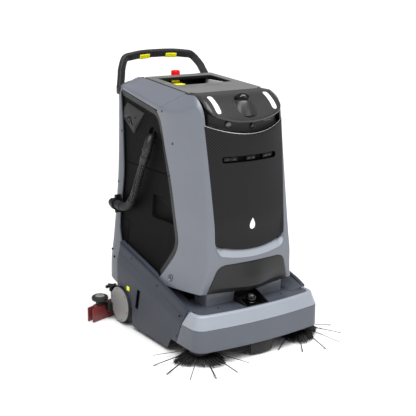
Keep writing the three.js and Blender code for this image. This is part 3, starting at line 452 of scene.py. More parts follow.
def placed(obj, body, material, *nodes, slot=None):
    """Gives a piece its material and its body, and hides the CAD nodes it stands for.

    A slot is worked out from the material, unless the CAD piece has another one, but it is not used.
    """
    slot = slot or next(name for name, materials in SLOTS.items() if material in materials)
    obj.data.materials.clear()
    obj.data.materials.append(MATERIALS[material])
    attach(obj, body)
    if nodes:
        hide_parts(*nodes)
    return obj


def cut_out(obj, cutters):
    """Takes the cutters out of a piece and removes them."""
    for cutter in cutters:
        hole = obj.modifiers.new("cut", "BOOLEAN")
        hole.operation = "DIFFERENCE"
        hole.solver = "EXACT"
        hole.object = cutter
        baked(obj)
        bpy.data.objects.remove(cutter)
    return obj


AXES = {"x": (1, 2, 0), "y": (0, 2, 1), "z": (0, 1, 2)}


def prism(name, outline, axis, start, end, edge=0):
    """An outline in the two other axes, run along the axis, with rounded edges."""
    u, v, w = AXES[axis]
    verts = []
    for level in (start, end):
        for a, b in outline:
            p = [0, 0, 0]
            p[u], p[v], p[w] = a, b, level
            verts.append(p)
    n = len(outline)
    faces = [tuple(range(n)), tuple(range(2 * n - 1, n - 1, -1))]
    faces += [(i, (i + 1) % n, n + (i + 1) % n, n + i) for i in range(n)]
    obj = cleaned(new_object(name, verts, faces))
    return shaded(edged(obj, edge, 3)) if edge else obj


def block(name, low, high, edge=1.5):
    outline = [(low[0], low[1]), (high[0], low[1]), (high[0], high[1]), (low[0], high[1])]
    return prism(name, outline, "z", low[2], high[2], edge)


def ring_points(radius, count, phase=0):
    angles = [2 * math.pi * i / count + phase for i in range(count)]
    return [(radius * math.cos(a), radius * math.sin(a)) for a in angles]


def around(centre, radius, count):
    return [(centre[0] + a, centre[1] + b) for a, b in ring_points(radius, count)]


def lathe(name, profile, axis, centre, segments=48, closed=False):
    """A turned body. The profile is [radius, place along the axis]; radius 0 closes it on the axis."""
    u, v, w = AXES[axis]
    verts, faces, rings = [], [], []
    for radius, place in profile:
        ring = []
        for a, b in ring_points(radius, segments) if radius > 0 else [(0, 0)]:
            p = [0, 0, 0]
            p[u], p[v], p[w] = centre[0] + a, centre[1] + b, place
            ring.append(len(verts))
            verts.append(p)
        rings.append(ring)
    pairs = list(zip(rings, rings[1:])) + ([(rings[-1], rings[0])] if closed else [])
    for low, high in pairs:
        for i in range(segments):
            j = (i + 1) % segments
            quad = [low[i % len(low)], low[j % len(low)], high[j % len(high)], high[i % len(high)]]
            face = list(dict.fromkeys(quad))
            if len(face) > 2:
                faces.append(face)
    return cleaned(new_object(name, verts, faces))


def tube(name, outlines):
    """A body through outlines of equally many points, closed at both ends."""
    count = len(outlines[0])
    verts = [point for outline in outlines for point in outline]
    faces = [tuple(range(count - 1, -1, -1)), tuple(range(len(verts) - count, len(verts)))]
    for i in range(len(outlines) - 1):
        for k in range(count):
            j = (k + 1) % count
            faces.append((i * count + k, i * count + j, (i + 1) * count + j, (i + 1) * count + k))
    return cleaned(new_object(name, verts, faces))


def sweep(name, path, section, up=Vector((0, 0, 1))):
    """A section carried along a path. section(share) gives its outline there as (side, up) pairs."""
    points = [Vector(p) for p in path]
    frames = []
    normal = None
    for i, point in enumerate(points):
        ahead = points[min(i + 1, len(points) - 1)] - points[max(i - 1, 0)]
        ahead.normalize()
        if normal is None:
            normal = (up - ahead * up.dot(ahead)).normalized()
        else:
            normal = (normal - ahead * normal.dot(ahead)).normalized()
        frames.append((point, ahead.cross(normal), normal))
    outlines = []
    for i, (point, side, high) in enumerate(frames):
        outline = section(i / (len(points) - 1))
        outlines.append([tuple(point + side * a + high * b) for a, b in outline])
    return tube(name, outlines)


def curve_through(points, steps):
    """Points spread evenly along a smooth curve through the given ones."""
    made = []
    pts = [Vector(p) for p in points]
    pts = [pts[0] * 2 - pts[1]] + pts + [pts[-1] * 2 - pts[-2]]
    for i in range(1, len(pts) - 2):
        for k in range(12):
            t = k / 12
            a, b, c, d = pts[i - 1 : i + 3]
            square = (2 * a - 5 * b + 4 * c - d) * t * t
            cube = (3 * b - a - 3 * c + d) * t**3
            made.append(0.5 * (2 * b + (c - a) * t + square + cube))
    made.append(pts[-2])
    return [along_path([tuple(p) for p in made], i / steps) for i in range(steps + 1)]


def moved(obj, place, turn=None):
    """Turns a piece about the origin, then moves it to its place."""
    obj.data.transform(Matrix.Translation(Vector(place) * MM) @ (turn or Matrix.Identity(4)))
    return obj


def turned(angle, axis="Z"):
    return Matrix.Rotation(angle, 4, axis)


def facing(direction):
    """The turn that takes +Z to a direction."""
    return Vector((0, 0, 1)).rotation_difference(Vector(direction)).to_matrix().to_4x4()


def flipped(obj, side):
    """Mirrors a piece made for the right side when it is for the left."""
    if side == LEFT:
        obj.data.transform(Matrix.Scale(-1, 4, Vector((1, 0, 0))))
        obj.data.flip_normals()
    return obj


def lifted(obj, height):
    """Raises each point of a flat piece by height(y), so that it follows a slope."""
    for vertex in obj.data.vertices:
        vertex.co.z += height(vertex.co.y / MM) * MM
    return obj


def joined(name, objects):
    """Merges several objects into one piece."""
    bm = bmesh.new()
    for obj in objects:
        bm.from_mesh(obj.data)
        bpy.data.objects.remove(obj)
    mesh = bpy.data.meshes.new(name)
    bm.to_mesh(mesh)
    bm.free()
    obj = bpy.data.objects.new(name, mesh)
    bpy.context.collection.objects.link(obj)
    return shaded(obj)


def mirrored(points, side):
    return [(side * p[0], p[1], p[2]) for p in points]


def screw_set(name, places, body):
    """Socket screws, each at (point, outward direction, radius)."""
    heads = []
    for k, (point, direction, radius) in enumerate(places):
        profile = [
            (0, -1.2), (radius * 0.45, -1.2), (radius * 0.5, 0.5), (radius * 0.8, 0.9), (radius, 0.2),
            (radius, -2),
        ]
        head = lathe(f"{name}_{k}", profile, "z", (0, 0), 16)
        heads.append(moved(head, point, facing(direction)))
    placed(joined(name, heads), body, "screw")


# ------------------------------------------------------------------ tower form
# Stations of the tower: height, front corner's y and x, crown of the front, half width of the side at its
# middle and at its rear.
STATIONS = [
    (150, -238, 262, 12, 298, 309),
    (268, -251, 234, 14, 290, 307),
    (330, -264, 220, 18, 276, 301),
    (400, -273, 212, 20, 265, 290),
    (480, -267, 207, 24, 258, 279),
    (680, -246, 202, 37, 251, 259),
    (960, -214, 198, 61, 247, 248),
    (1140, -192, 198, 70, 246, 246),
]
CORNER_Y, CORNER_X, CROWN, SIDE_X, REAR_X = (
    [(row[0], row[k]) for row in STATIONS]
    for k in (1, 2, 3, 4, 5)
)
NOSE_Y, NOSE_Z, NOSE_R = -102, 963, 112
REAR_Y, REAR_CORNER = 444, 80
OPENING = [
    (268, 4), (400, -88), (440, -103), (475, -104), (560, -84),
    (716, -48), (830, -12), (945, 24), (970, 41), (990, 60),
]
SPLIT_Z = 732
SKIRT_TOP = [(-264, 214), (-200, 237), (50, 302), (238, 353), (312, 376)]


def straight_value(table, at):
    if at <= table[0][0]:
        return table[0][1]
    for (x0, y0), (x1, y1) in zip(table, table[1:]):
        if at <= x1:
            return lerp(y0, y1, (at - x0) / (x1 - x0))
    return table[-1][1]


def corner_y(z):
    return smooth_value(CORNER_Y, z)


def corner_x(z):
    return smooth_value(CORNER_X, z)


def lid_z(y):
    return 1074 + 30 * (y + 106) / 389


def lid_half(y):
    return 188 - 10 * (y + 106) / 389


def crease_z(y):
    return 1016 + 0.186 * (y - 74)


def front_y(x, z):
    """The tower's front skin, crowned between its corners."""
    return corner_y(z) - smooth_value(CROWN, z) * (1 - (x / corner_x(z)) ** 2)


def soft_min(a, b, blend):
    return (a + b - math.sqrt((a - b) ** 2 + blend * blend)) / 2


def top_z(y):
    """The shoulder's upper edge: the lid's slope, falling away behind the lid."""
    return lid_z(y) - 0.22 * max(0, y - 287)


def side_x(y, z):
    """The tower's side skin: half its width at a place, with the shoulder's slope above the crease."""
    wide = smooth_value(SIDE_X, z)
    if y < 0:
        near, front = corner_x(z), corner_y(z)
        share = min(1, max(0, (y - front) / -front))
        wide = near + (wide - near) * (1 - (1 - share) ** 1.6)
    rear = REAR_Y - REAR_CORNER
    if y > 0:
        wide = lerp(wide, smooth_value(REAR_X, z), min(1, y / rear))
    if y > rear:
        wide = wide - REAR_CORNER + math.sqrt(max(0, REAR_CORNER**2 - (y - rear) ** 2))
    climb = (z - crease_z(y)) / (top_z(y) - crease_z(y))
    if climb < -1:
        return wide
    return soft_min(wide, 247 - climb * (247 - lid_half(y)), 5)


def opening_y(z):
    return smooth_value(OPENING, z)


def skirt_top(y):
    return straight_value(SKIRT_TOP, y)


def evenly(low, high, count):
    return [lerp(low, high, i / count) for i in range(count + 1)]


def levels(low, high, step):
    return evenly(low, high, max(1, round((high - low) / step)))


# ------------------------------------------------------------------ front shell, panel and chin
PANEL = {"top_half": 194, "top_edge": 958, "top_mid": 918, "low_half": 172, "low_edge": 462, "low_mid": 438}
SCOOP_DEPTH = 15
SCOOP_Z = 30


def panel_half(z):
    share = (z - PANEL["low_edge"]) / (PANEL["top_edge"] - PANEL["low_edge"])
    return lerp(PANEL["low_half"], PANEL["top_half"], share)


def panel_low(x):
    return lerp(PANEL["low_mid"], PANEL["low_edge"], (x / PANEL["low_half"]) ** 2)


def panel_top(x):
    return lerp(PANEL["top_mid"], PANEL["top_edge"], (x / PANEL["top_half"]) ** 2)


def smooth_step(t):
    t = min(1, max(0, t))
    return t * t * (3 - 2 * t)


def scoop(x, z):
    """How far the front is set in below the striped panel, where a bevel leads out to the band under it."""
    rise = z - (panel_low(x) - SCOOP_Z)
    if rise <= 0:
        return 0
    edge = PANEL["low_half"] + 2 - abs(x)
    corner = max(0, 26 - edge) / 26
    rise -= SCOOP_Z * corner * corner * 0.9
    inside = smooth_step(edge / 7)
    fade = 1 - smooth_step((z - 470) / 120)
    return SCOOP_DEPTH * min(1, max(0, rise / (SCOOP_Z * 0.86))) * inside * fade


def panel_y(x, z):
    """The striped panel's face: close to the tower's front, and set in towards its lower edge."""
    return front_y(x, z) + 0.75 * scoop(x, max(z, PANEL["low_edge"] + 6)) - 1.2


def shell_half_row(z, top_y=None, rear_y=None):
    """Right half of the front shell's outline at a height: from the door round the corner to the middle."""
    front = corner_y(z) if top_y is None else top_y
    start = opening_y(z) if rear_y is None else rear_y
    reach = min(16, (start - front) * 0.45)
    points = []
    for y in evenly(start, front + reach, 14):
        points.append((side_x(y, z), y, z))
    x_end = min(corner_x(z) - 10, 189.5) if top_y is not None else corner_x(z) - 10
    corner = (side_x(front, z), front)
    if corner[0] < x_end + 2:
        x_end = corner[0] - 2
    last = front_y(x_end, z) if top_y is None else front - 2.5
    for i in range(1, 8):
        t = i / 7
        x = (1 - t) ** 2 * points[14][0] + 2 * t * (1 - t) * corner[0] + t * t * x_end
        y = (1 - t) ** 2 * points[14][1] + 2 * t * (1 - t) * corner[1] + t * t * last
        points.append((x, y, z))
    for i in range(1, 31):
        x = x_end * (1 - i / 30)
        set_in = scoop(x, z) if top_y is None else 0
        points.append((x, (front_y(x, z) if top_y is None else front) + set_in, z))
    return points


def seam_y(z):
    """The seam between the front shell and the shoulder cap."""
    return lerp(60, -76, (z - 990) / 80)


def shell_rows():
    rows = []
    heights = levels(268, 389, 10) + levels(392, 486, 3)[:-1] + levels(486, 960, 10)
    for z in heights:
        rows.append((z, shell_half_row(z)))
    for k in range(1, 24):
        angle = math.radians(3.1 * k)
        z = NOSE_Z + NOSE_R * math.sin(angle)
        rear = opening_y(z) if z < 990 else seam_y(z)
        rows.append((z, shell_half_row(z, NOSE_Y - NOSE_R * math.cos(angle), rear)))
    return [mirrored(half, -1) + half[::-1][1:] for z, half in rows]


def chin_half(z):
    return lerp(206, 165, (z - 268) / 121)


def open_front(points):
    """Whether a face of the shell lies behind the panel, behind the chin or in the head's opening."""
    x = sum(abs(p[0]) for p in points) / len(points)
    z = sum(p[2] for p in points) / len(points)
    if z > 955:
        return x < 188
    if z > panel_low(x) + 8:
        return x < panel_half(z) - 8
    return z < 376 and x < chin_half(z) - 12


def sheet_grid(name, rows, wall, inside, edge=1.2, skip=None):
    """A cover: rows of points make its outer face, and `wall` its thickness towards the point `inside`.

    Faces whose corners `skip` answers for are left out.
    """
    count = len(rows[0])
    verts = [p for row in rows for p in row]
    faces = []
    for r in range(len(rows) - 1):
        for c in range(count - 1):
            face = (r * count + c, r * count + c + 1, (r + 1) * count + c + 1, (r + 1) * count + c)
            if not (skip and skip([verts[k] for k in face])):
                faces.append(face)
    used = sorted({k for face in faces for k in face})
    place = {k: i for i, k in enumerate(used)}
    obj = new_object(name, [verts[k] for k in used], [tuple(place[k] for k in face) for face in faces])
    middle = Vector(inside) * MM
    if sum(f.area * f.normal.dot(f.center - middle) for f in obj.data.polygons) < 0:
        obj.data.flip_normals()
    solid = obj.modifiers.new("wall", "SOLIDIFY")
    solid.thickness = wall * MM
    solid.offset = -1
    baked(obj)
    if edge:
        edged(obj, edge, 2, 50)
    return shaded(cleaned(obj))


JACK_PORT = (-80, 303)


def make_front_shell():
    shell = sheet_grid("shell", shell_rows(), 5, (0, 60, 600), 1.4, open_front)
    y, z = JACK_PORT
    hole = rectangle(0, 230, 15.5, 330)
    cut_out(shell, [flipped(lathe("port", hole, "x", JACK_PORT, 32), side) for side in (LEFT, RIGHT)])
    placed(shaded(shell), "machine", "shell", "front_shell")
    profile = [(15.4, -1), (14, 1.2), (12, -1), (9.5, -9), (9, -12), (0, -12), (0, -14), (15.4, -14)]
    for side in (LEFT, RIGHT):
        cup = flipped(lathe("jack_port", profile, "x", (0, 0), 32), side)
        moved(cup, (side * (side_x(y, z) + 0.5), y, z))
        placed(shaded(cup), "machine", "shell")


def panel_rows(inset):
    """The striped panel's face as rows of points, its lower corners rounded."""
    rows = []
    radius = 20
    shares = [0, 0.004, 0.01, 0.02, 0.03, 0.042] + [lerp(0.06, 1, i / 30) for i in range(31)]
    for share in shares:
        row = []
        for s in evenly(-1, 1, 32):
            low_x = s * PANEL["low_half"]
            top_x = s * PANEL["top_half"]
            low = panel_low(low_x) + inset
            top = panel_top(top_x) - inset
            z = lerp(low, top, share)
            height = share * 470
            half = panel_half(z) - inset
            if height < radius:
                half -= radius - math.sqrt(radius**2 - (radius - height) ** 2)
            x = s * half
            row.append((x, panel_y(x, z), z))
        rows.append(row)
    return rows


SLOT_Z = 819


def make_panel():
    panel = sheet_grid("front_panel", panel_rows(1), 4, (0, 60, 700), 0.8)
    slot = rounded(rectangle(-133, SLOT_Z - 13, 133, SLOT_Z + 13), 11, 8)
    cut_out(panel, [prism("slot", slot, "y", -420, -150)])
    placed(shaded(panel), "machine", "weave", "front_panel")

    rows = []
    for rise, depth in ((-14, 0.5), (-12, 20), (12, 20), (14, 0.5)):
        z = SLOT_Z + rise
        rows.append([(x, front_y(x, z) + depth, z) for x in levels(-134, 134, 12)])
    placed(sheet_grid("vision_slot_liner", rows, 2, (0, 60, 700), 0), "machine", "door")
    for k, (x, half) in enumerate(((-92, 30), (0, 22), (92, 30))):
        y = front_y(x, SLOT_Z)
        slope = math.atan2(front_y(x + 5, SLOT_Z) - front_y(x - 5, SLOT_Z), 10)
        window = block("vision_window", (-half, -2, -9), (half, 6, 9), 2)
        moved(window, (x, y + 12, SLOT_Z), turned(slope))
        placed(window, "machine", "pane")
        for eye in (-half * 0.5, half * 0.5):
            profile = [(0, -3.4), (5, -3.2), (6.4, -2.6), (6.4, 0), (0, 0)]
            lens = lathe("vision_lens", profile, "y", (0, 0), 24)
            moved(lens, (x + eye * math.cos(slope), y + 12 + eye * math.sin(slope), SLOT_Z), turned(slope))
            placed(shaded(lens), "machine", "gloss")

    ring = []
    for x in evenly(-193, 193, 40):
        z = panel_top(x) + 1
        ring.append((x, front_y(x, z) - 0.4, z))
    bead = sweep("panel_ring", ring, lambda t: ring_points(1.5, 8))
    placed(shaded(bead), "machine", "silver")


def make_scoop_face():
    """The bevel below the striped panel, in the brow grey, made pale as a painted highlight."""
    rows = []
    for t in levels(0, 1, 0.1):
        row = []
        for x in levels(-168, 168, 8):
            corner = max(0, 26 - (PANEL["low_half"] + 2 - abs(x))) / 26
            low = panel_low(x) - SCOOP_Z * (1 - 0.9 * corner * corner) + 0.5
            z = lerp(low, panel_low(x) - 1.5, t)
            row.append((x, front_y(x, z) + scoop(x, z) - 0.9, z))
        rows.append(row)
    placed(sheet_grid("scoop_face", rows, 0.8, (0, 0, 450), 0), "machine", "brow")


def mark_outline():
    """A plain droplet in the plane of the front: round below, pointed above."""
    points = []
    for i in range(40):
        angle = 2 * math.pi * i / 40
        x = 17.5 * math.sin(angle) * math.sin(angle / 2) ** 1.1
        z = 24 * math.cos(angle)
        points.append((x, z))
    return points


def make_mark():
    centre_z = 547
    low, high = panel_y(0, centre_z - 24), panel_y(0, centre_z + 24)
    lean = math.atan2(high - low, 48)
    drop = prism("mark", mark_outline(), "y", -0.8, 0.5, 0.2)
    moved(drop, (0, (low + high) / 2, centre_z), turned(-lean, "X"))
    placed(drop, "machine", "white")


def chin_rows():
    """The chin's face: swelling forward to a nose above the scanner, its upper corners rounded."""
    rows = []
    steps = [(268, 1), (272, 0.72), (277, 0.4), (281, 0.18), (284, 0.06), (287, 0)]
    steps += [(lerp(292, 389, i / 16), 0) for i in range(17)]
    radius = 30
    for z, tuck in steps:
        share = max(0, (z - 287) / (389 - 287))
        half = chin_half(z) - 1
        if z > 389 - radius:
            half -= radius - math.sqrt(max(0, radius**2 - (z - 389 + radius) ** 2))
        row = []
        for x in evenly(-half, half, 32):
            bulge = math.exp(-((x / 105) ** 2))
            nose = 34 * bulge * (1 - share) ** 1.15
            y = front_y(x, z) - 1.5 - nose + tuck * 16 * bulge - 4 * (1 - share)
            row.append((x, y, z - tuck * 7 * bulge))
        rows.append(row)
    return rows


def make_chin():
    rows = chin_rows()
    under = [(x, y + 40, z + 1) for x, y, z in rows[0]]
    chin = sheet_grid("chin", [under] + rows, 4, (0, 0, 420), 1.2)
    placed(chin, "machine", "chin", "lower_panel")


# ------------------------------------------------------------------ side panels and doors
BAND = 36
STRIP = 21
DOOR_SINK = 9
REAR_EDGE = [
    (354, 300), (392, 318), (430, 334), (480, 340), (580, 337), (690, 333), (860, 346), (1050, 367),
]


def distance_to(path, y, z):
    best = 1e9
    for (y0, z0), (y1, z1) in zip(path, path[1:]):
        length = (y1 - y0) ** 2 + (z1 - z0) ** 2
        t = min(1, max(0, ((y - y0) * (y1 - y0) + (z - z0) * (z1 - z0)) / length))
        best = min(best, math.hypot(y - lerp(y0, y1, t), z - lerp(z0, z1, t)))
    return best


FRONT_EDGE = [(opening_y(z), z) for z in levels(268, 990, 20)]
TOP_EDGE = [(60, 990)] + [(y, crease_z(y) - STRIP) for y in levels(90, 366, 30)]


def door_depth(y, z, with_top):
    """The panels' face lies below the shell, behind a slanted band along the front and the top."""
    reach = distance_to(FRONT_EDGE, y, z)
    if with_top:
        reach = min(reach, distance_to(TOP_EDGE, y, z) * 1.15)
    return 1 + DOOR_SINK * min(1, reach / BAND)


def coons(low, high, near, far, columns, rows):
    """A sheet of points filled between four edges, each a function of its share."""
    made = []
    for j in range(rows + 1):
        v = j / rows
        row = []
        for i in range(columns + 1):
            u = i / columns
            a, b, c, d = low(u), high(u), near(v), far(v)
            row.append(
                tuple(
                    (1 - v) * a[k] + v * b[k] + (1 - u) * c[k] + u * d[k]
                    - (1 - u) * (1 - v) * low(0)[k] - u * (1 - v) * low(1)[k]
                    - (1 - u) * v * high(0)[k] - u * v * high(1)[k]
                    for k in (0, 1)
                )
            )
        made.append(row)
    return made


def side_sheet(name, edges, side, with_top, columns, rows):
    low, high, near, far = edges
    flat = coons(low, high, near, far, columns, rows)
    lifted = [
        [(side * (side_x(y, z) - door_depth(y, z, with_top)), y, z) for y, z in row] for row in flat
    ]
    return sheet_grid(name, lifted, 5, (0, 120, 700))


GAP = 1.6


def door_edges():
    foot_front = (-14 + GAP, 294)
    foot = [foot_front, (50, 309), (238, 360), (299, 377)]
    top_z = SPLIT_Z - 1
    low = lambda u: along_path(foot, u)
    high = lambda u: (lerp(opening_y(top_z) + GAP, straight_value(REAR_EDGE, top_z) - GAP, u), top_z)
    near = lambda v: (opening_y(lerp(294, top_z, v)) + GAP, lerp(294, top_z, v))
    rear_edge = [(299, 377)] + [(straight_value(REAR_EDGE, z) - GAP, z) for z in levels(390, top_z, 20)]
    far = lambda v: along_path(rear_edge, v)
    return low, high, near, far


def panel_edges():
    low_z = SPLIT_Z + 1
    top = [(60 + GAP, 989)] + [(y, crease_z(y) - STRIP - 0.6) for y in (90, 200, 300, 365)]
    front = [(opening_y(z) + GAP, z) for z in levels(low_z, 989, 8)]
    low = lambda u: (lerp(opening_y(low_z) + GAP, straight_value(REAR_EDGE, low_z) - GAP, u), low_z)
    high = lambda u: along_path(top, u)
    near = lambda v: along_path(front, v)

    def far(v):
        z = lerp(low_z, top[-1][1], v)
        return straight_value(REAR_EDGE, z) - GAP, z

    return low, high, near, far


POCKET = [
    (76, 850), (140, 846), (140, 880), (135, 897), (123, 909), (107, 914), (91, 909), (80, 897),
    (76, 882),
]
GRIP = [(-76, 527), (102, 527), (102, 628), (-52, 628), (-66, 590)]
REAR_GRIP = [(276, 352), (330, 372), (340, 474), (284, 474), (276, 466)]


def side_cutter(name, outline, side, start, end):
    low, high = sorted((side * start, side * end))
    return prism(name, outline, "x", low, high)


def make_band(name, path, side, with_top, body):
    """The slanted band that frames a side panel along its front and top, paler than the door as a painted
    highlight on the bevel.
    """
    points = [along_path(path, t) for t in evenly(0, 1, 70)]
    normals = []
    for k in range(len(points)):
        a, b = points[max(0, k - 3)], points[min(len(points) - 1, k + 3)]
        length = math.hypot(b[0] - a[0], b[1] - a[1])
        normals.append(((b[1] - a[1]) / length, (a[0] - b[0]) / length))
    rows = []
    for reach in (2.5, 9, 16, 23, 27):
        row = []
        for (y0, z0), (ny, nz) in zip(points, normals):
            y, z = y0 + ny * reach, z0 + nz * reach
            row.append((side * (side_x(y, z) - door_depth(y, z, with_top) + 0.7), y, z))
        rows.append(row)
    placed(sheet_grid(name, rows, 1, (0, 120, 700), 0), body, "band")


def make_side_panels(side):
    label = SIDE_NAMES[side]
    upper = side_sheet("upper_panel_" + label, panel_edges(), side, True, 44, 34)
    if side == LEFT:
        cut_out(upper, [side_cutter("pocket", rounded(POCKET, 6), side, 210, 300)])
    placed(shaded(upper), "machine", "door", "side_panel_" + label)

    door = side_sheet("side_door_" + label, door_edges(), side, False, 44, 44)
    cutters = [side_cutter("grip", rounded(GRIP, 8), side, 225, 300)]
    cutters.append(side_cutter("rear_grip", rounded(REAR_GRIP, 7), side, 225, 300))
    cut_out(door, cutters)
    body = "door" if side == RIGHT else "machine"
    placed(shaded(door), body, "door", "side_door_" + label)
    for name, outline, depth in (("grip_cup", GRIP, 20), ("rear_grip_cup", REAR_GRIP, 7)):
        shape = rounded(outline, 8)
        middle = (sum(p[0] for p in shape) / len(shape), sum(p[1] for p in shape) / len(shape))
        rings = []
        for grow, sink in (
            (3, 5.2), (0.2, 5.2), (-2, 6.5), (-5, depth - 2), (-10, depth), (-500, depth + 0.5),
        ):
            ring = []
            for y, z in shape:
                dy, dz = y - middle[0], z - middle[1]
                length = math.hypot(dy, dz)
                move = max(-length * 0.98, grow)
                yy, zz = y + dy / length * move, z + dz / length * move
                ring.append((side * (side_x(yy, zz) - DOOR_SINK - sink + 4.6), yy, zz))
            rings.append(ring + ring[:1])
        cup = sheet_grid(name + "_" + label, rings, 1.5, (0, middle[0], middle[1]), 0)
        placed(cup, body, "door")
    front = [(opening_y(z), z) for z in levels(300, SPLIT_Z - 2, 20)]
    make_band("door_band_" + label, front, side, False, body)
    corner = [(opening_y(z), z) for z in levels(SPLIT_Z + 2, 940, 20)] + [(32, 960), (46, 978), (68, 992)]
    top = [(y, crease_z(y) - STRIP) for y in levels(92, 358, 30)]
    make_band("panel_band_" + label, corner + top, side, True, "machine")
    lip = []
    for t in levels(0, 1, 0.1):
        y, z = lerp(-78, 60, t), 524 + 4 * math.sin(math.pi * t)
        lip.append((side * (side_x(y, z) - DOOR_SINK + 0.5), y, z))
    section = lambda t: ring_points(3.2 * math.sin(math.pi * lerp(0.12, 0.88, t)), 10)
    bead = sweep("grip_lip_" + label, lip, section)
    placed(shaded(bead), body, "door")


POD = [(320, 994), (176, 963), (266, 862), (361, 924), (354, 966)]
POD_PEAKS = [(250, 948, 27), (242, 894, 15)]  # y, z and rise of the ridge's two ends


def make_pod(side):
    """The wedge on the side panel: a lit top facet, a front facet, and a rear facet with two sensors."""
    label = SIDE_NAMES[side]
    floor = side_x(270, 940) - DOOR_SINK - 2
    verts = [(side * (floor - 4), y, z) for y, z in POD]
    verts += [(side * (floor + 3), y, z) for y, z in POD]
    verts += [(side * (floor + rise), y, z) for y, z, rise in POD_PEAKS]
    faces = [(0, 1, 2, 3, 4)] + [(k, (k + 1) % 5, 5 + (k + 1) % 5, 5 + k) for k in range(5)]
    faces += [(5, 6, 10), (5, 10, 9), (6, 7, 11), (6, 11, 10), (7, 8, 11), (8, 9, 10), (8, 10, 11)]
    pod = edged(cleaned(new_object("pod_" + label, verts, faces)), 2.2, 3, 12)
    placed(shaded(pod, 30), "machine", "pod")

    rear, peak, foot = (Vector(verts[k]) for k in (8, 10, 11))
    normal = (peak - rear).cross(foot - rear).normalized()
    if normal.x * side < 0:
        normal = -normal
    middle = (rear + peak + foot) / 3
    plate = [tuple(middle.lerp(corner, 0.86) + normal * 0.8) for corner in (rear, peak, foot)]
    back = [tuple(Vector(corner) - normal * 2) for corner in plate]
    faces = [(0, 1, 2), (5, 4, 3), (0, 3, 4, 1), (1, 4, 5, 2), (2, 5, 3, 0)]
    face = cleaned(new_object("pod_face_" + label, plate + back, faces))
    placed(shaded(edged(face, 0.4, 2, 12), 30), "machine", "door")
    profile = [(0, -1.5), (8, -1), (8.8, 0.3), (10.5, 1.6), (12.5, 1.2), (13.2, -2), (0, -2)]
    for along, up in ((0.36, 0.62), (0.66, 0.3)):
        centre = rear.lerp(foot.lerp(peak, up), along)
        eye = moved(lathe("pod_sensor", profile, "z", (0, 0), 28), centre, facing(normal))
        placed(shaded(eye), "machine", "gloss")
    places = [
        ((side * (floor + 6.5), 198, 955), (side, -0.5, 0), 4),
        ((side * (floor + 5), 268, 880), (side, 0, -0.6), 3.5),
    ]
    screw_set("pod_screws_" + label, places, "machine")


# ------------------------------------------------------------------ shoulder caps and rear cover
def make_shoulder(side):
    label = SIDE_NAMES[side]
    rows = []
    below = [(0, drop) for drop in (STRIP - 1, 14, 8, 4, 2)]
    above = [(share, 0) for share in (0.02, 0.06, 0.12, 0.2, 0.32, 0.46, 0.6, 0.74, 0.86, 0.93, 0.965)]
    for share, drop in below + above:
        a = lerp(crease_z(0) - drop, lid_z(0), share)
        b = lerp(crease_z(1) - crease_z(0), lid_z(1) - lid_z(0), share)
        fall = 80 / 136
        start = (990 + fall * 60 - a) / (b + fall) + 1.2
        row = []
        for y in evenly(start, 351, 30):
            z = a + b * y - share * (lid_z(y) - top_z(y))
            row.append((side * side_x(y, z), y, z))
        rows.append(row)
    cap = sheet_grid("shoulder_" + label, rows, 5, (0, 100, 900), 1.6)
    placed(cap, "machine", "shell", "shoulder_cap_" + label)


REAR_PROFILE = [(200, 444), (1010, 444), (1030, 435), (1050, 418), (1064, 398), (1078, 372), (1086, 354)]


def rear_row(z):
    rear = straight_value(REAR_PROFILE, z)
    if z < 354:
        start = lerp(314, 301, min(1, max(0, (z - 290) / 64)))
    elif z < crease_z(352) - 31:
        start = straight_value(REAR_EDGE, z) + GAP
    else:
        start = 352.5
    wide = min(side_x(start, z), side_x(min(rear - 12, 352), z))
    radius = min(REAR_CORNER, rear - start - 1)
    half = [(side_x(start, z), start, z)]
    for i in range(1, 4):
        y = lerp(start, rear - radius, i / 3)
        half.append((wide, y, z))
    for i in range(1, 11):
        angle = math.radians(9 * i)
        half.append((wide - radius + radius * math.cos(angle), rear - radius + radius * math.sin(angle), z))
    for i in range(1, 9):
        x = (wide - radius) * (1 - i / 8)
        half.append((x, rear, z))
    return mirrored(half, -1) + half[::-1][1:]


def make_rear_cover():
    heights = levels(170, 290, 12) + levels(301, 354, 11) + levels(356, 430, 12) + levels(440, 1020, 16)
    heights += [1028, 1036] + levels(1043, 1078, 7) + [1083]
    cover = sheet_grid("rear_cover", [rear_row(z) for z in heights], 5, (0, 250, 700), 0)
    foot = [(300, 100), (480, 100), (480, 222), (400, 192), (300, 168)]
    arch = around(DRIVE_AXIS, 94, 48)
    cutters = [prism("foot", foot, "x", -340, 340), prism("arch", arch, "x", -340, 340)]
    for k in range(7):
        z = 560 + 16 * k
        slot = rounded(rectangle(-90, z, 90, z + 7), 3.5)
        cutters.append(prism("vent", slot, "y", 425, 460))
    cut_out(cover, cutters)
    # the rear cover takes the shell paint darkened as painted shade
    placed(shaded(edged(cover, 1.2, 2, 50)), "machine", "rear", "rear_cover")
    hatch = prism("rear_hatch", rounded(rectangle(-150, 300, 150, 520), 16, 6), "y", 442, 446.5, 1.6)
    placed(hatch, "machine", "skirt", slot="body_grey")
    backing = block("vent_backing", (-100, 431, 548), (100, 437, 680), 1)
    placed(backing, "machine", "trim")
    places = [((x, 447.2, z), (0, 1, 0), 4) for x in (-132, 132) for z in (318, 502)]
    screw_set("hatch_screws", places, "machine")


# ------------------------------------------------------------------ head: visor, lights, dome, sensor bar
VISOR_PLAN = [(0, -275), (80, -270), (137, -258), (164, -246), (178, -226), (184, -190), (184.9, -150)]
VISOR_PROFILE = [
    (-275, 973), (-266, 985), (-245, 1008), (-215, 1038), (-169, 1064), (-107, 1073), (-80, 1075),
]
DOME_Y = -208


def both_sides(middle, ends):
    """Places across the head: even steps in the middle, closer ones towards both ends."""
    return [-x for x in ends[::-1]] + middle + list(ends)


def visor_front(x):
    return smooth_value(VISOR_PLAN, abs(x))


def visor_z(y):
    return smooth_value(VISOR_PROFILE, y)


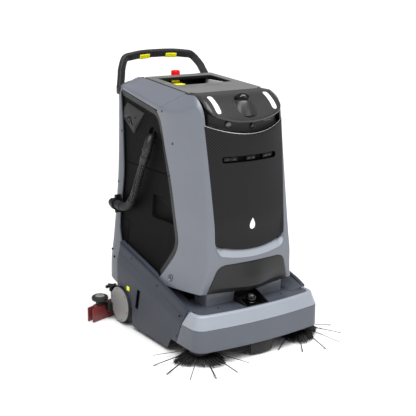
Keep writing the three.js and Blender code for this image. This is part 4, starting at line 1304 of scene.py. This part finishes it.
def visor_rear(x):
    return lerp(-107, -86, smooth_step((abs(x) - 150) / 20))


def make_visor():
    rows = []
    for x in both_sides(levels(-150, 150, 9), (156, 161, 166, 170, 174, 178, 181, 183)):
        front = visor_front(x)
        row = []
        for i in range(25):
            y = lerp(visor_rear(x), front, 1 - (1 - i / 24) ** 1.3)
            side_fall = 10 * max(0, (abs(x) - 168) / 15) ** 2
            row.append((x, y, visor_z(y) - side_fall - 0.6))
        last = row[-1]
        row.append((x * 0.998, last[1] - 0.6, last[2] - 3))
        row.append((x * 0.99, last[1] + 2, last[2] - 9))
        row.append((x * 0.97, last[1] + 12, last[2] - 11))
        rows.append(row)
    visor = sheet_grid("head_visor", rows, 3.5, (0, -60, 950), 0)
    slots = []
    for side in (LEFT, RIGHT):
        outline = rounded(rectangle(side * 126.5, -166, side * 149.5, -248), 11, 6)
        slots.append(prism("light_slot", outline, "z", 980, 1090))
    slots.append(lathe("dome_hole", rectangle(0, 960, 34, 1110), "z", (0, DOME_Y), 48))
    cut_out(visor, slots)
    placed(shaded(edged(visor, 1.0, 2, 45)), "machine", "visor", "head_visor")

    for side in (LEFT, RIGHT):
        outline = rounded(rectangle(side * 127.3, -167, side * 148.7, -247), 10.5, 8)
        bar = prism("light", outline, "z", 0, 10)
        bm = bmesh.new()
        bm.from_mesh(bar.data)
        for k in range(1, 14):
            y = lerp(-247, -167, k / 14) * MM
            geometry = bm.verts[:] + bm.edges[:] + bm.faces[:]
            bmesh.ops.bisect_plane(bm, geom=geometry, plane_co=(0, y, 0), plane_no=(0, 1, 0))
        for v in bm.verts:
            top = v.co.z > 0.005
            v.co.z = (visor_z(v.co.y / MM) + (0.4 if top else -9)) * MM
        bm.to_mesh(bar.data)
        bm.free()
        placed(shaded(edged(bar, 1.5, 3, 50)), "machine", "lamp", "light_bar_" + SIDE_NAMES[side])

    collar_profile = [
        (33, 1008), (33, 1046), (34.5, 1048), (37, 1047), (41, 1041), (47, 1029), (55, 1012),
        (63, 990), (50, 988),
    ]
    collar = lathe("dome_collar", collar_profile, "z", (0, DOME_Y), 64, True)
    placed(shaded(collar, 60), "machine", "visor")
    dome = [(0, 1016), (31, 1016), (31.5, 1030), (31.5, 1052), (30, 1060)]
    dome += [
        (30 * math.cos(a), 1060 + 17 * math.sin(a))
        for a in (math.radians(12 * k) for k in range(1, 8))
    ] + [(0, 1077)]
    placed(shaded(lathe("camera_dome", dome, "z", (0, DOME_Y), 64)), "machine", "gloss", "camera_dome")


def bar_front(x):
    plan = [(0, -256), (80, -248), (135, -234), (165, -214), (177, -186), (177.9, -150)]
    return smooth_value(plan, abs(x))


def bar_top(x):
    return visor_z(visor_front(x)) - 8


def make_sensor_bar():
    rows = []
    for t in (0, 0.03, 0.08, 0.3, 0.6, 0.9, 0.97, 1):
        row = []
        for x in both_sides(levels(-165, 165, 9), (168, 171, 174, 176, 177.5)):
            z = lerp(panel_top(x) + 3, bar_top(x), t)
            hollow = 3 * math.sin(math.pi * t)
            lip = 5 * max(0, (0.08 - t) / 0.08)
            row.append((x, bar_front(x) + hollow - lip, z))
        rows.append(row)
    bar = sheet_grid("sensor_bar", rows, 5, (0, -60, 980), 0.8)
    placed(bar, "machine", "trim", "sensor_bar")
    for x, z, size in ((-95, 958, 12), (18, 944, 9)):
        y = bar_front(x) - 1
        slope = math.atan2(bar_front(x + 4) - bar_front(x - 4), 8)
        profile = [(size + 3, 3), (size + 3, -2), (size + 1, -3.6), (size, -3), (size - 1, -0.5), (0, -0.5)]
        bezel = lathe("camera_bezel", profile, "y", (0, 0), 36)
        profile = [(0, -2.4), (size * 0.45, -2.2), (size * 0.85, -1), (size - 0.8, 0.3), (0, 0.3)]
        glass = lathe("camera_glass", profile, "y", (0, 0), 36)
        turn = turned(slope) @ turned(math.radians(14), "X")
        for obj, material in ((bezel, "visor"), (glass, "smoke" if x < 0 else "gloss")):
            placed(shaded(moved(obj, (x, y, z), turn)), "machine", material)
    x = 96
    slope = math.atan2(bar_front(x + 4) - bar_front(x - 4), 8)
    slit = block("sensor_slit", (-24, -1.5, -6), (24, 4, 6), 2.5)
    moved(slit, (x, bar_front(x) + 0.8, 962), turned(slope))
    placed(slit, "machine", "gloss")


# ------------------------------------------------------------------ lid, tray and emergency stop
LID_GAP = 6


def make_lid():
    notch = [(-150, -105), (-168, -84), (-lid_half(-84) + LID_GAP, -84)]
    outline = notch + [(-lid_half(282) + LID_GAP, 282)]
    outline = outline + [(-x, y) for x, y in outline[::-1]]
    lid = prism("lid", rounded(outline, 5, 4), "z", -6, 0)
    opening = rounded(rectangle(-139, 63, 139, 238), 12, 6)
    arc = levels(-1, 1, 0.08)
    crescent = [(18 + 62 * t, 42 - 26 * t * t) for t in arc] + [
        (18 + 62 * t, 33 - 17 * t * t)
        for t in arc[-2:0:-1]
    ]
    cut_out(lid, [prism("recess", opening, "z", -20, 20), prism("groove", crescent, "z", -1.8, 10)])
    edged(lid, 1.6, 3, 40)
    # the lid's mid grey is a painted sheen on black plastic
    placed(shaded(lifted(lid, lid_z)), "lid", "lid", "top_lid")

    under = [(-lid_half(-84), -86), (-lid_half(345), 345), (lid_half(345), 345), (lid_half(-84), -86)]
    gutter = prism("lid_gutter", under, "z", -22, -12)
    cut_out(gutter, [prism("gutter_hole", rounded(rectangle(-146, 57, 146, 347), 12, 5), "z", -40, 20)])
    placed(shaded(lifted(gutter, lid_z)), "machine", "trim")

    rim = prism("lid_recess_rim", opening, "z", -13, -1.2)
    cut_out(rim, [prism("rim_hole", rounded(rectangle(-134, 68, 134, 233), 8, 6), "z", -40, 20)])
    edged(rim, 0.8, 2, 40)
    placed(shaded(lifted(rim, lid_z)), "lid", "trim")


def make_tray():
    outer = rounded(rectangle(-145, 58, 145, 345), 12, 5)
    inner = rounded(rectangle(-141, 63, 141, 340), 9, 5)
    # the tray is drawn in dark trim as painted shade inside the recess, not in its own pale tank grey
    tray = prism("console_tray", outer, "z", 1030, 1082)
    cut_out(tray, [prism("inside", inner, "z", 1035, 1100)])
    for v in tray.data.vertices:
        top = 1073 + 9 * smooth_step((v.co.y / MM - 58) / 228)
        if v.co.z > 1.06:
            v.co.z = top * MM
    placed(shaded(edged(tray, 1.0, 2, 40)), "machine", "trim", "console_tray")
    # only the right inner wall, where the light falls, keeps the pale tank grey
    light = block("tray_light_wall", (131, 118, 1036), (140, 262, 1079), 1.5)
    placed(light, "machine", "tank")
    bridge = block("rear_bridge", (-168, 286, 1078), (168, 345, 1086), 3)
    hole = lathe("hole", rectangle(0, 1000, 24, 1120), "z", ESTOP_AXIS, 40)
    cut_out(bridge, [hole])
    # the bridge shares the lid's painted sheen
    placed(shaded(bridge), "machine", "lid")


def make_estop():
    head = [
        (0, 1083), (13, 1083), (15.5, 1086), (16, 1092), (19, 1096), (20, 1099), (20, 1115),
        (19, 1119), (16.5, 1121), (13, 1121.3), (11, 1120.3), (0, 1120.3),
    ]
    button = lathe("estop_head", head, "z", ESTOP_AXIS, 48)
    placed(shaded(edged(button, 0.6, 2, 30)), "estop", "red", "estop_button")
    stem = lathe("estop_stem", rectangle(0, 1053, 8.5, 1083.5), "z", ESTOP_AXIS, 24)
    placed(shaded(stem), "estop", "red")
    collar = [(9.2, 1036), (19, 1036), (19, 1070), (17.5, 1074), (15.5, 1076), (9.2, 1076)]
    collar = shaded(lathe("estop_collar", collar, "z", ESTOP_AXIS, 40, True))
    placed(collar, "machine", "yellow", "estop_base")
    plate = block("estop_plate", (-60, 200, 1036), (-14, 236, 1072), 3)
    placed(plate, "machine", "yellow")


# ------------------------------------------------------------------ apron, deck, plinth and skirts
def bumper_seam(z):
    """The slanted seam between the bumper and the side skirts."""
    return -264 + (221 - z) * 68 / 155


def apron_path(set_in, start_y):
    """The apron's outline from the left seam round the front to the right seam."""
    half, front, radius = 316 - set_in, -378 + set_in, 50 - set_in * 0.3
    edge = front + 20
    right = [(half, lerp(start_y, edge + radius, i / 4)) for i in range(5)]
    for k in range(1, 10):
        angle = math.radians(-9.5 * k)
        right.append((half - radius + radius * math.cos(angle), edge + radius + radius * math.sin(angle)))
    last = right[-1]
    for i in range(1, 13):
        x = last[0] * (1 - i / 12)
        right.append((x, last[1] - (last[1] - front) * (1 - (x / last[0]) ** 2)))
    return [(-x, y) for x, y in right] + right[::-1][1:]


def make_apron():
    lip = [(62, 7), (60.5, 3), (62, 0.6), (66, 0)]
    wall = [(z, 0) for z in levels(72, 150, 13)]
    crease = [(153, 0.1), (154.4, 0.8), (155.2, 2.4)]
    chamfer = [(154.8, 3), (155.6, 1.2), (157, 0.9)] + [
        (z, 1 + (z - 157) * 0.31)
        for z in levels(163, 202, 9)
    ]
    brow = [(206, 16), (209, 18.5), (211, 22), (212, 26), (211.5, 30), (208, 33)]
    parts = (
        ("front_bumper", lip + wall + crease, "bumper", ["front_bumper"]),
        # the chamfer and brow are drawn in the lighter brow grey as a painted highlight on the bumper paint
        ("bumper_brow", chamfer + brow, "brow", []),
    )
    for name, section, material, nodes in parts:
        rows = []
        for z, set_in in section:
            seam = bumper_seam(z) - 1
            rows.append([(x, y, z) for x, y in apron_path(set_in, seam)])
        placed(sheet_grid(name, rows, 4, (0, -200, 120), 0.6), "machine", material, *nodes)

    outline = apron_path(31, -262) + [(285, -120), (-285, -120)]
    deck = prism("apron_deck", outline, "z", 200, 207.5)
    pocket = rounded(rectangle(-57, -329, 57, -230), 8, 4)
    cut_out(deck, [prism("bay_hole", pocket, "z", 190, 220)])
    # the deck is drawn in the deck grey darkened as painted shade
    placed(shaded(edged(deck, 1, 2, 50)), "machine", "deck")

    plinth_outline = rounded(rectangle(-195, -238, 195, -140), 10, 4)
    plinth = prism("plinth", plinth_outline, "z", 206, 262, 1.5)
    cut_out(plinth, [block("mouth", (-54, -260, 200), (54, -120, 256), 0.01)])
    placed(shaded(plinth), "machine", "shell")

    bay = block("scanner_bay", (-57, -329, 178), (57, -205, 244), 2)
    cut_out(bay, [block("hollow", (-52, -350, 188), (52, -212, 300), 1)])
    sill = [(-340, 206), (-240, 240), (-240, 300), (-340, 300)]
    cut_out(bay, [prism("sill", sill, "x", -70, 70)])
    placed(shaded(bay), "machine", "trim", "scanner_bay")
    head = [
        (0, 190), (20, 190), (22, 196), (22, 208), (21, 209), (21, 211), (22, 212), (22, 228),
        (19, 233), (0, 234),
    ]
    placed(shaded(lathe("scanner_head", head, "z", SCANNER_AXIS, 48)), "machine", "gloss", "scanner_head")
    collar = rectangle(9, 233.5, 13, 237)
    placed(shaded(lathe("scanner_collar", collar, "z", SCANNER_AXIS, 32, True)), "machine", "silver")
    places = [((side * 163, -276, 207.6), (0, 0, 1), 5) for side in (LEFT, RIGHT)]
    screw_set("deck_screws", places, "machine")


def make_guard_strip():
    """A black rubber strip that hangs below the middle of the bumper."""
    rows = []
    for x in evenly(-56, 58, 24):
        y = -366 + 9 * (x / 58) ** 2
        rows.append([(x, y, 66), (x, y - 1, 40), (x, y - 2, 12), (x, y, 8)])
    strip = sheet_grid("guard_strip", rows, 9, (0, -200, 30), 1.5)
    placed(strip, "machine", "trim", slot="rubber")


def skirt_crease(y):
    return min(155 + 0.215 * max(0, y + 262), skirt_top(y) - 20)


def skirt_lean(share):
    """How far out the skirt is, at a share of the way from its crease to its top."""
    return lerp(315.4, 304.6, share)


def make_skirt(side):
    label = SIDE_NAMES[side]
    ys = levels(-250, 311, 13)
    profile = [(0, 0.3), (0, 0), (0.3, 0), (0.6, 0), (0.9, 0), (0.97, 0.1), (1, 0.6)]
    rows = []
    for share, set_in in profile:
        rows.append([(316 - set_in, y, lerp(16, skirt_crease(y), share)) for y in ys])
    for share in (0.06, 0.3, 0.6, 0.9, 0.97):
        rows.append([(skirt_lean(share), y, lerp(skirt_crease(y), skirt_top(y), share)) for y in ys])
    rows.append([(302.5, y, skirt_top(y) + 0.6) for y in ys])
    rows.append([(298, y, skirt_top(y)) for y in ys])
    rows.append([(290, y, skirt_top(y) - 3) for y in ys])
    for row in rows:
        for i, (x, y, z) in enumerate(row):
            row[i] = (side * x, lerp(bumper_seam(z) + 1, 311, (y + 250) / 561), z)
    skirt = sheet_grid("side_skirt_" + label, rows, 4, (0, 0, 150), 0)
    arch = around(DRIVE_AXIS, 83.5, 64)
    tail = [(180, 0), (400, 0), (400, 150), (300, 150), (262, 100), (180, 100)]
    slot = rounded([(126, 108), (154, 108), (130, 200), (102, 200)], 4, 3)
    corner = [(295, 420), (297, 354), (312.5, 290), (345, 290), (345, 420)]
    nose = [(-120, -20), (-120, 14), (-150, 64), (-300, 64), (-300, -20)]
    outlines = (arch, tail, slot, nose, corner)
    cut_out(skirt, [side_cutter("cut", outline, side, 270, 340) for outline in outlines])
    placed(shaded(edged(skirt, 0.8, 2, 50)), "machine", "skirt", "side_skirt_" + label)
    pocket = block("tow_pocket_" + label, (side * 298 - 4, 96, 100), (side * 298 + 4, 160, 208), 1)
    placed(pocket, "machine", "trim")
    ledge = []
    for y in levels(-266, 309, 16):
        z = skirt_top(y)
        drop = lerp(skirt_top(y) - 208.6, -5, smooth_step((y + 190) / 210))
        row = [(lerp(303, 222, k / 7), z - 0.5 - drop * smooth_step(k / 5)) for k in range(8)]
        ledge.append([(side * x, y, height) for x, height in row])
    # the ledge shares the deck grey's painted shade
    placed(sheet_grid("skirt_ledge_" + label, ledge, 3, (0, 0, 0), 0.8), "machine", "deck")
    line = []
    for y in levels(-236, 298, 12):
        z = skirt_top(y) - 36 - 10 * min(1, max(0, (y - 60) / 240))
        share = (z - skirt_crease(y)) / (skirt_top(y) - skirt_crease(y))
        line.append((side * (skirt_lean(max(0, share)) - 0.7), y, z))
    groove = sweep("skirt_groove_" + label, line, lambda t: ring_points(1.3, 8))
    placed(shaded(groove), "machine", "trim")


# ------------------------------------------------------------------ wheels
def make_drive_wheel(side):
    label = SIDE_NAMES[side]
    tyre = [
        (69, 281), (82, 281), (87, 283.5), (90, 288), (90, 299), (88, 302), (79, 303), (78, 305),
        (78, 323.5), (69, 323.5),
    ]
    tread = flipped(lathe("drive_tyre_" + label, tyre, "x", DRIVE_AXIS, 72, True), side)
    placed(shaded(edged(tread, 1, 2, 30)), "drive_wheel_" + label, "rubber", "drive_tyre_" + label)
    disc = [
        (0, 250), (30, 250), (30, 284), (68, 284), (68, 324.5), (79, 324.5), (80, 325.5), (80, 326.5),
        (78.5, 328), (70, 328.3), (0, 328.6),
    ]
    plate = flipped(lathe("wheel_disc_" + label, disc, "x", DRIVE_AXIS, 72), side)
    placed(shaded(plate), "drive_wheel_" + label, "disc", "wheel_disc_" + label)
    places = []
    for k in range(6):
        angle = math.radians(60 * k + 17)
        point = (side * 328.2, DRIVE_AXIS[0] + 72 * math.cos(angle), DRIVE_AXIS[1] + 72 * math.sin(angle))
        places.append((point, (side, 0, 0), 3.4))
    screw_set("disc_screws_" + label, places, "drive_wheel_" + label)


# ------------------------------------------------------------------ side brushes
def make_side_brush(side):
    """A dished hub, a dense dark skirt of short bristles, and twelve long thin tufts sweeping the floor."""
    label = SIDE_NAMES[side]
    cx, cy = side * SWEEPER_AXIS[0], SWEEPER_AXIS[1]
    hub_profile = [
        (0, 27), (38, 28), (46, 34), (47, 40), (44, 48), (34, 54), (12, 57), (9, 60), (9, 78), (0, 78),
    ]
    hub = shaded(lathe("brush_hub_" + label, hub_profile, "z", (cx, cy), 48))
    placed(hub, "sweeper_" + label, "trim", "side_brush_" + label, slot="rubber")
    dice = random.Random(7 if side == LEFT else 11)
    first = 15 if side == LEFT else 0
    strands = []
    for k in range(12):
        base = first + 30 * k
        for j in range(3):
            angle = math.radians(base + dice.uniform(-0.9, 0.9))
            reach = dice.uniform(198, 206)
            strands.append((angle, reach, 1.7, dice.uniform(-0.4, 0.4)))
    for k in range(260):
        angle = dice.uniform(0, 2 * math.pi)
        reach = 92 + 20 * math.sin(3 * angle + side) + dice.uniform(-8, 8)
        strands.append((angle, reach, 3.0, dice.uniform(-3, 3)))
    verts, faces = [], []
    for angle, reach, thick, bend in strands:
        base = len(verts)
        for i, share in enumerate((0, 0.35, 0.7, 1)):
            r = lerp(34, reach, share)
            z = lerp(40, 2.5 if reach > 150 else dice.uniform(6, 16), share**1.15)
            turn = angle + math.radians(bend) * share * share
            width = thick * lerp(1.25, 0.55, share)
            for a, b in ring_points(width, 4, math.pi / 4):
                x = cx + r * math.cos(turn) - a * math.sin(turn)
                y = cy + r * math.sin(turn) + a * math.cos(turn)
                verts.append((x, y, max(0.6, z + b)))
        for i in range(3):
            for q in range(4):
                ring, n = base + i * 4, (q + 1) % 4
                faces.append((ring + q, ring + n, ring + 4 + n, ring + 4 + q))
        faces.append((base + 3, base + 2, base + 1, base))
        faces.append((base + 12, base + 13, base + 14, base + 15))
    tufts = new_object("bristles_" + label, verts, faces)
    placed(shaded(tufts), "sweeper_" + label, "bristle")


# ------------------------------------------------------------------ squeegee
def squeegee_y(x):
    return lerp(418, 340, (x / 428) ** 2)


def curved_bar(name, half, section):
    """A bar along the squeegee's curve; the section gives (offset behind the front line, height) points."""
    rows = []
    for x in evenly(-half, half, 40):
        slope = math.atan2(-2 * 78 * x / 428**2, 1)
        y, across, along = squeegee_y(x), math.sin(slope), math.cos(slope)
        rows.append([(x - off * across, y + off * along, z) for off, z in section])
    return tube(name, rows)


def make_squeegee():
    frame_section = [(7, 26), (31, 26), (31, 66), (28, 74), (10, 74), (7, 66)]
    body = curved_bar("squeegee_frame", 400, frame_section)
    placed(shaded(edged(body, 1.6, 3, 30)), "squeegee", "wine", "squeegee_frame")
    for name, offset, node in (
        ("front", 1.2, "squeegee_blade_front"), ("rear", 31.5, "squeegee_blade_rear"),
    ):
        section = rectangle(offset, 1.5, offset + 5.2, 66)
        blade = curved_bar("blade_" + name, 426, section)
        placed(shaded(edged(blade, 0.8, 2, 40)), "squeegee", "wine", node)
    strip = curved_bar("blade_clamp", 404, rectangle(36.8, 40, 39.5, 60))
    placed(shaded(edged(strip, 0.6, 2, 40)), "squeegee", "steel")
    port = [(18, 60), (24, 60), (24, 98), (26, 99), (26, 103), (18, 103)]
    placed(shaded(lathe("suction_port", port, "z", (0, squeegee_y(0) + 10), 40, True)), "squeegee", "wine")
    for side in (LEFT, RIGHT):
        label = SIDE_NAMES[side]
        x, y = side * 372, squeegee_y(372) + 20
        post = [(0, 60), (5, 60), (5, 118), (3.5, 121), (0, 121)]
        placed(shaded(lathe("roller_post_" + label, post, "z", (x, y), 20)), "squeegee", "steel")
        bracket = block("roller_bracket_" + label, (x - 16, y - 18, 66), (x + 16, y + 14, 84), 2.5)
        placed(bracket, "squeegee", "trim")
        roller = [
            (5.6, 86.5), (24, 86.5), (30, 87.5), (36, 91), (38, 96), (38, 102), (36, 107), (30, 110.5),
            (25, 111), (23, 109), (12, 109), (10, 112), (5.6, 112),
        ]
        roller = shaded(lathe("guard_roller_" + label, roller, "z", (x, y), 48, True))
        placed(roller, "guard_" + label, "rubber", "guard_roller_" + label)
        hub = [(5.8, 109.2), (22, 109.2), (20, 111), (13, 111.4), (11, 113), (5.8, 113)]
        hub = shaded(lathe("roller_hub_" + label, hub, "z", (x, y), 36, True))
        placed(hub, "guard_" + label, "disc", slot="zinc_steel")
        kx, ky = side * 300, squeegee_y(300) + 18
        stud = rectangle(0, 66, 6, 112)
        placed(shaded(lathe("knob_stud_" + label, stud, "z", (kx, ky), 20)), "squeegee", "steel")
        core = lathe(
            "core", [(0, 114), (11, 114), (12, 118), (12, 128), (17, 132), (19, 142), (0, 143.5)], "z",
            (kx, ky), 32,
        )
        lobes = [core]
        for k in range(5):
            angle = math.radians(72 * k + 20)
            profile = [(0, 130), (6, 130.5), (8, 134), (8, 139), (6, 142.5), (0, 143)]
            lobe = lathe("lobe", profile, "z", (0, 0), 20)
            lobes.append(moved(lobe, (kx + 22 * math.cos(angle), ky + 22 * math.sin(angle), 0)))
            arm = block("lobe_arm", (0, -5, 131), (22, 5, 141), 1.5)
            lobes.append(moved(arm, (kx, ky, 0), turned(angle)))
        placed(joined("squeegee_knob_" + label, lobes), "knob_" + label, "trim", "squeegee_knob_" + label)
        cheek = block("blade_bracket_" + label, (side * 335 - 16, 338, 40), (side * 335 + 16, 366, 78), 2.5)
        placed(cheek, "squeegee", "trim")


# ------------------------------------------------------------------ hose
HOSE_PATH = [
    (-238, 112, 872), (-254, 104, 862), (-265, 101, 836), (-270, 116, 792),
    (-273, 147, 731), (-276, 172, 678), (-279, 198, 622), (-284, 220, 580),
    (-289, 244, 552), (-295, 276, 540), (-295, 318, 540), (-295, 362, 540),
]
HOSE_PARTS = [  # name, first and last share of the path, radius at each share, material
    (
        "hose_upper_cuff", 0, 0.2,
        [(0, 17), (0.3, 19.5), (0.6, 19), (0.62, 22), (0.74, 22), (0.76, 18), (1, 18)], "cuff",
    ),
    ("hose_lower_cuff", 0.2, 0.27, [(0, 20.4), (0.4, 20.4), (0.46, 18.8), (1, 18.8)], "cuff"),
    ("hose_sleeve", 0.26, 0.69, [(0, 16.2), (1, 16.2)], "hose"),
    ("hose_elbow", 0.68, 0.86, [(0, 18.4), (0.1, 18.4), (0.14, 17.6), (1, 18.6)], "rubber"),
    ("hose_fitting", 0.85, 1, [(0, 21.5), (0.14, 21.5), (0.18, 19.8), (1, 19.8)], "rubber"),
]


def make_hose():
    steps = 240
    points = curve_through(HOSE_PATH, steps)
    for name, start, end, radii, material in HOSE_PARTS:
        part = points[int(start * steps) : int(end * steps) + 1]
        piece = sweep(name, part, lambda t: ring_points(straight_value(radii, t), 28), up=Vector((1, 0, 0)))
        nodes = ["drain_hose"] if name == "hose_sleeve" else []
        placed(shaded(edged(piece, 0.6, 2, 30)), "machine", material, *nodes)
    x, z = HOSE_PATH[-1][0], HOSE_PATH[-1][2]
    cap = [(0, 359.5), (18, 359.5), (21, 361), (21, 374), (19.5, 375.5), (19, 383), (17, 385), (0, 385)]
    obj = lathe("drain_cap", cap, "y", (x, z), 36)
    placed(shaded(edged(obj, 0.5, 2, 30)), "cap", "trim", "drain_cap", slot="rubber")
    ring = lathe(
        "clip_ring", [(20.5, 336), (26, 336), (27, 338), (27, 354), (26, 356), (20.5, 356)], "y",
        (x, z), 36, True,
    )
    foot = block("clip_foot", (-280, 336, z - 26), (-268, 356, z + 26), 2)
    ears = [
        block("clip_ear", (x - 4, 339, z + s * 33 - 8), (x + 24, 353, z + s * 33 + 8), 2)
        for s in (-1, 1)
    ]
    placed(joined("hose_clip", [ring, foot] + ears), "machine", "trim", "hose_clip")
    liner_rows = []
    for grow, depth in ((2, 4.5), (0, 6), (-2, 36), (-30, 44)):
        ring = []
        for y, z in rounded(POCKET, 6):
            dy, dz = y - 107, z - 880
            length = math.hypot(dy, dz)
            ring.append((-(side_x(y, z) - depth - 6), y + dy / length * grow, z + dz / length * grow))
        liner_rows.append(ring + ring[:1])
    placed(sheet_grid("hose_pocket", liner_rows, 1.5, (-100, 107, 880), 0), "machine", "trim")


# ------------------------------------------------------------------ handle
def handle_path():
    corner = 46
    lean = lambda t: (lerp(234, 189, t), lerp(392, 448, t), lerp(1054, 1176, t))
    x1, y1, z1 = lean(1)
    half = [
        lean(0), lean(0.4), lean(1 - corner / 122),
        (x1 - 12, y1 + 2, z1 - 6), (x1 - corner - 4, y1 + 7, z1 + 3),
        (x1 * 0.4, y1 + 22 * 0.85, z1 + 9),
    ]
    return [(-x, y, z) for x, y, z in half] + [(0, y1 + 22, z1 + 10)] + half[::-1]


def handle_bar(name, points, section, scale):
    """A section carried along the push bar; scale(i) shrinks its width and its thickness at a point."""
    deep = Vector((0, 1, 0.42)).normalized()
    outlines = []
    for i, point in enumerate(points):
        ahead = (Vector(points[min(i + 1, len(points) - 1)]) - Vector(points[max(i - 1, 0)])).normalized()
        if points[0][0] > points[-1][0]:
            ahead = -ahead
        wide = ahead.cross(deep).normalized()
        thick = wide.cross(ahead).normalized()
        across, through = scale(i)
        outlines.append(
            [tuple(Vector(point) + wide * a * across + thick * b * through) for a, b in section]
        )
    return tube(name, outlines)


def pad_scale(i):
    return (0.95, 0.95) if i in (0, 10) else (1, 1)


def make_handle():
    points = curve_through(handle_path(), 96)
    section = rounded(rectangle(-17.5, -10.5, 17.5, 10.5), 6, 4)

    bar = handle_bar("bar", points, section, lambda i: (lerp(0.9, 1, smooth_step(min(i, 96 - i) / 34)), 1))
    feet = []
    for side in (LEFT, RIGHT):
        foot = block("foot", (-10, -16, -18), (10, 16, 22), 6)
        feet.append(moved(foot, (side * 238, 392, 1040)))
    placed(joined("push_handle", [bar] + feet), "machine", "handle", "push_handle")
    for side in (LEFT, RIGHT):
        label = SIDE_NAMES[side]
        pad_section = rounded(rectangle(-20, -14, 4, 6), 6, 4)
        pad_points = []
        for t in levels(0, 1, 0.1):
            x = side * lerp(43, 97, t)
            nearest = min(points, key=lambda p: abs(p[0] - x))
            pad_points.append((x, nearest[1], nearest[2]))
        pad = handle_bar("handle_pad_" + label, pad_points, pad_section, pad_scale)
        placed(shaded(edged(pad, 1.2, 2, 40)), "pad_" + label, "yellow", "handle_pad_" + label)


# ------------------------------------------------------------------ screws and small marks
def make_screws():
    places = []
    for side in (LEFT, RIGHT):
        for y, z in ((17, 992), (-57, 867), (358, 865), (382, 631), (384, 320), (357, 291)):
            places.append(((side * (side_x(y, z) + 0.3), y, z), (side, 0, 0), 5))
        places.append(((side * 315, -215, 185), (side, 0, 0.1), 4))
        places.append(((side * 316.2, -226, 140), (side, 0, 0), 3.6))
        places.append(((side * 316.2, -196, 92), (side, 0, 0), 3.6))
        places.append(((side * 309, -30, 262), (side, 0, 0.2), 3.6))
        places.append(((side * 307, 190, 325), (side, 0, 0.2), 3.6))
        places.append(((side * 264, 214, 941), (side, 0, 0), 4))
    screw_set("cover_screws", places, "machine")
    latch = block("skirt_latch", (-319.5, 198, 172), (-315, 220, 192), 3)
    placed(latch, "machine", "yellow")


# ------------------------------------------------------------------ carried-over CAD nodes
CARRIED = {
    "steel": ["drive_motor_left", "drive_motor_right", "caster_fork_left", "caster_fork_right"],
    "deck": ["chassis_frame"],
    "trim": [
        "scrub_deck", "side_brush_arm_left", "side_brush_arm_right", "squeegee_arm", "battery_pack",
        "vacuum_motor",
    ],
    "rubber": ["caster_wheel_left", "caster_wheel_right"],
    "bristle": ["scrub_brush_left", "scrub_brush_right"],
    "moulding": ["solution_tank", "recovery_tank"],
}


def finish_carried_nodes():
    for material, names in CARRIED.items():
        for name in names:
            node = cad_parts[name]
            node.data.materials.clear()
            node.data.materials.append(MATERIALS[material])
            add_bevel(node, 1.2, 2, 40)


# ------------------------------------------------------------------ build
make_camera()
make_studio()
make_floor()
make_front_shell()
make_panel()
make_scoop_face()
make_mark()
make_chin()
for one_side in (LEFT, RIGHT):
    make_side_panels(one_side)
    make_pod(one_side)
    make_shoulder(one_side)
    make_skirt(one_side)
    make_drive_wheel(one_side)
    make_side_brush(one_side)
make_rear_cover()
make_visor()
make_sensor_bar()
make_lid()
make_tray()
make_estop()
make_apron()
make_guard_strip()
make_squeegee()
make_hose()
make_handle()
make_screws()
finish_carried_nodes()

low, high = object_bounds()
{"cad": [list(cad_low), list(cad_high)], "visual": [list(low), list(high)]}
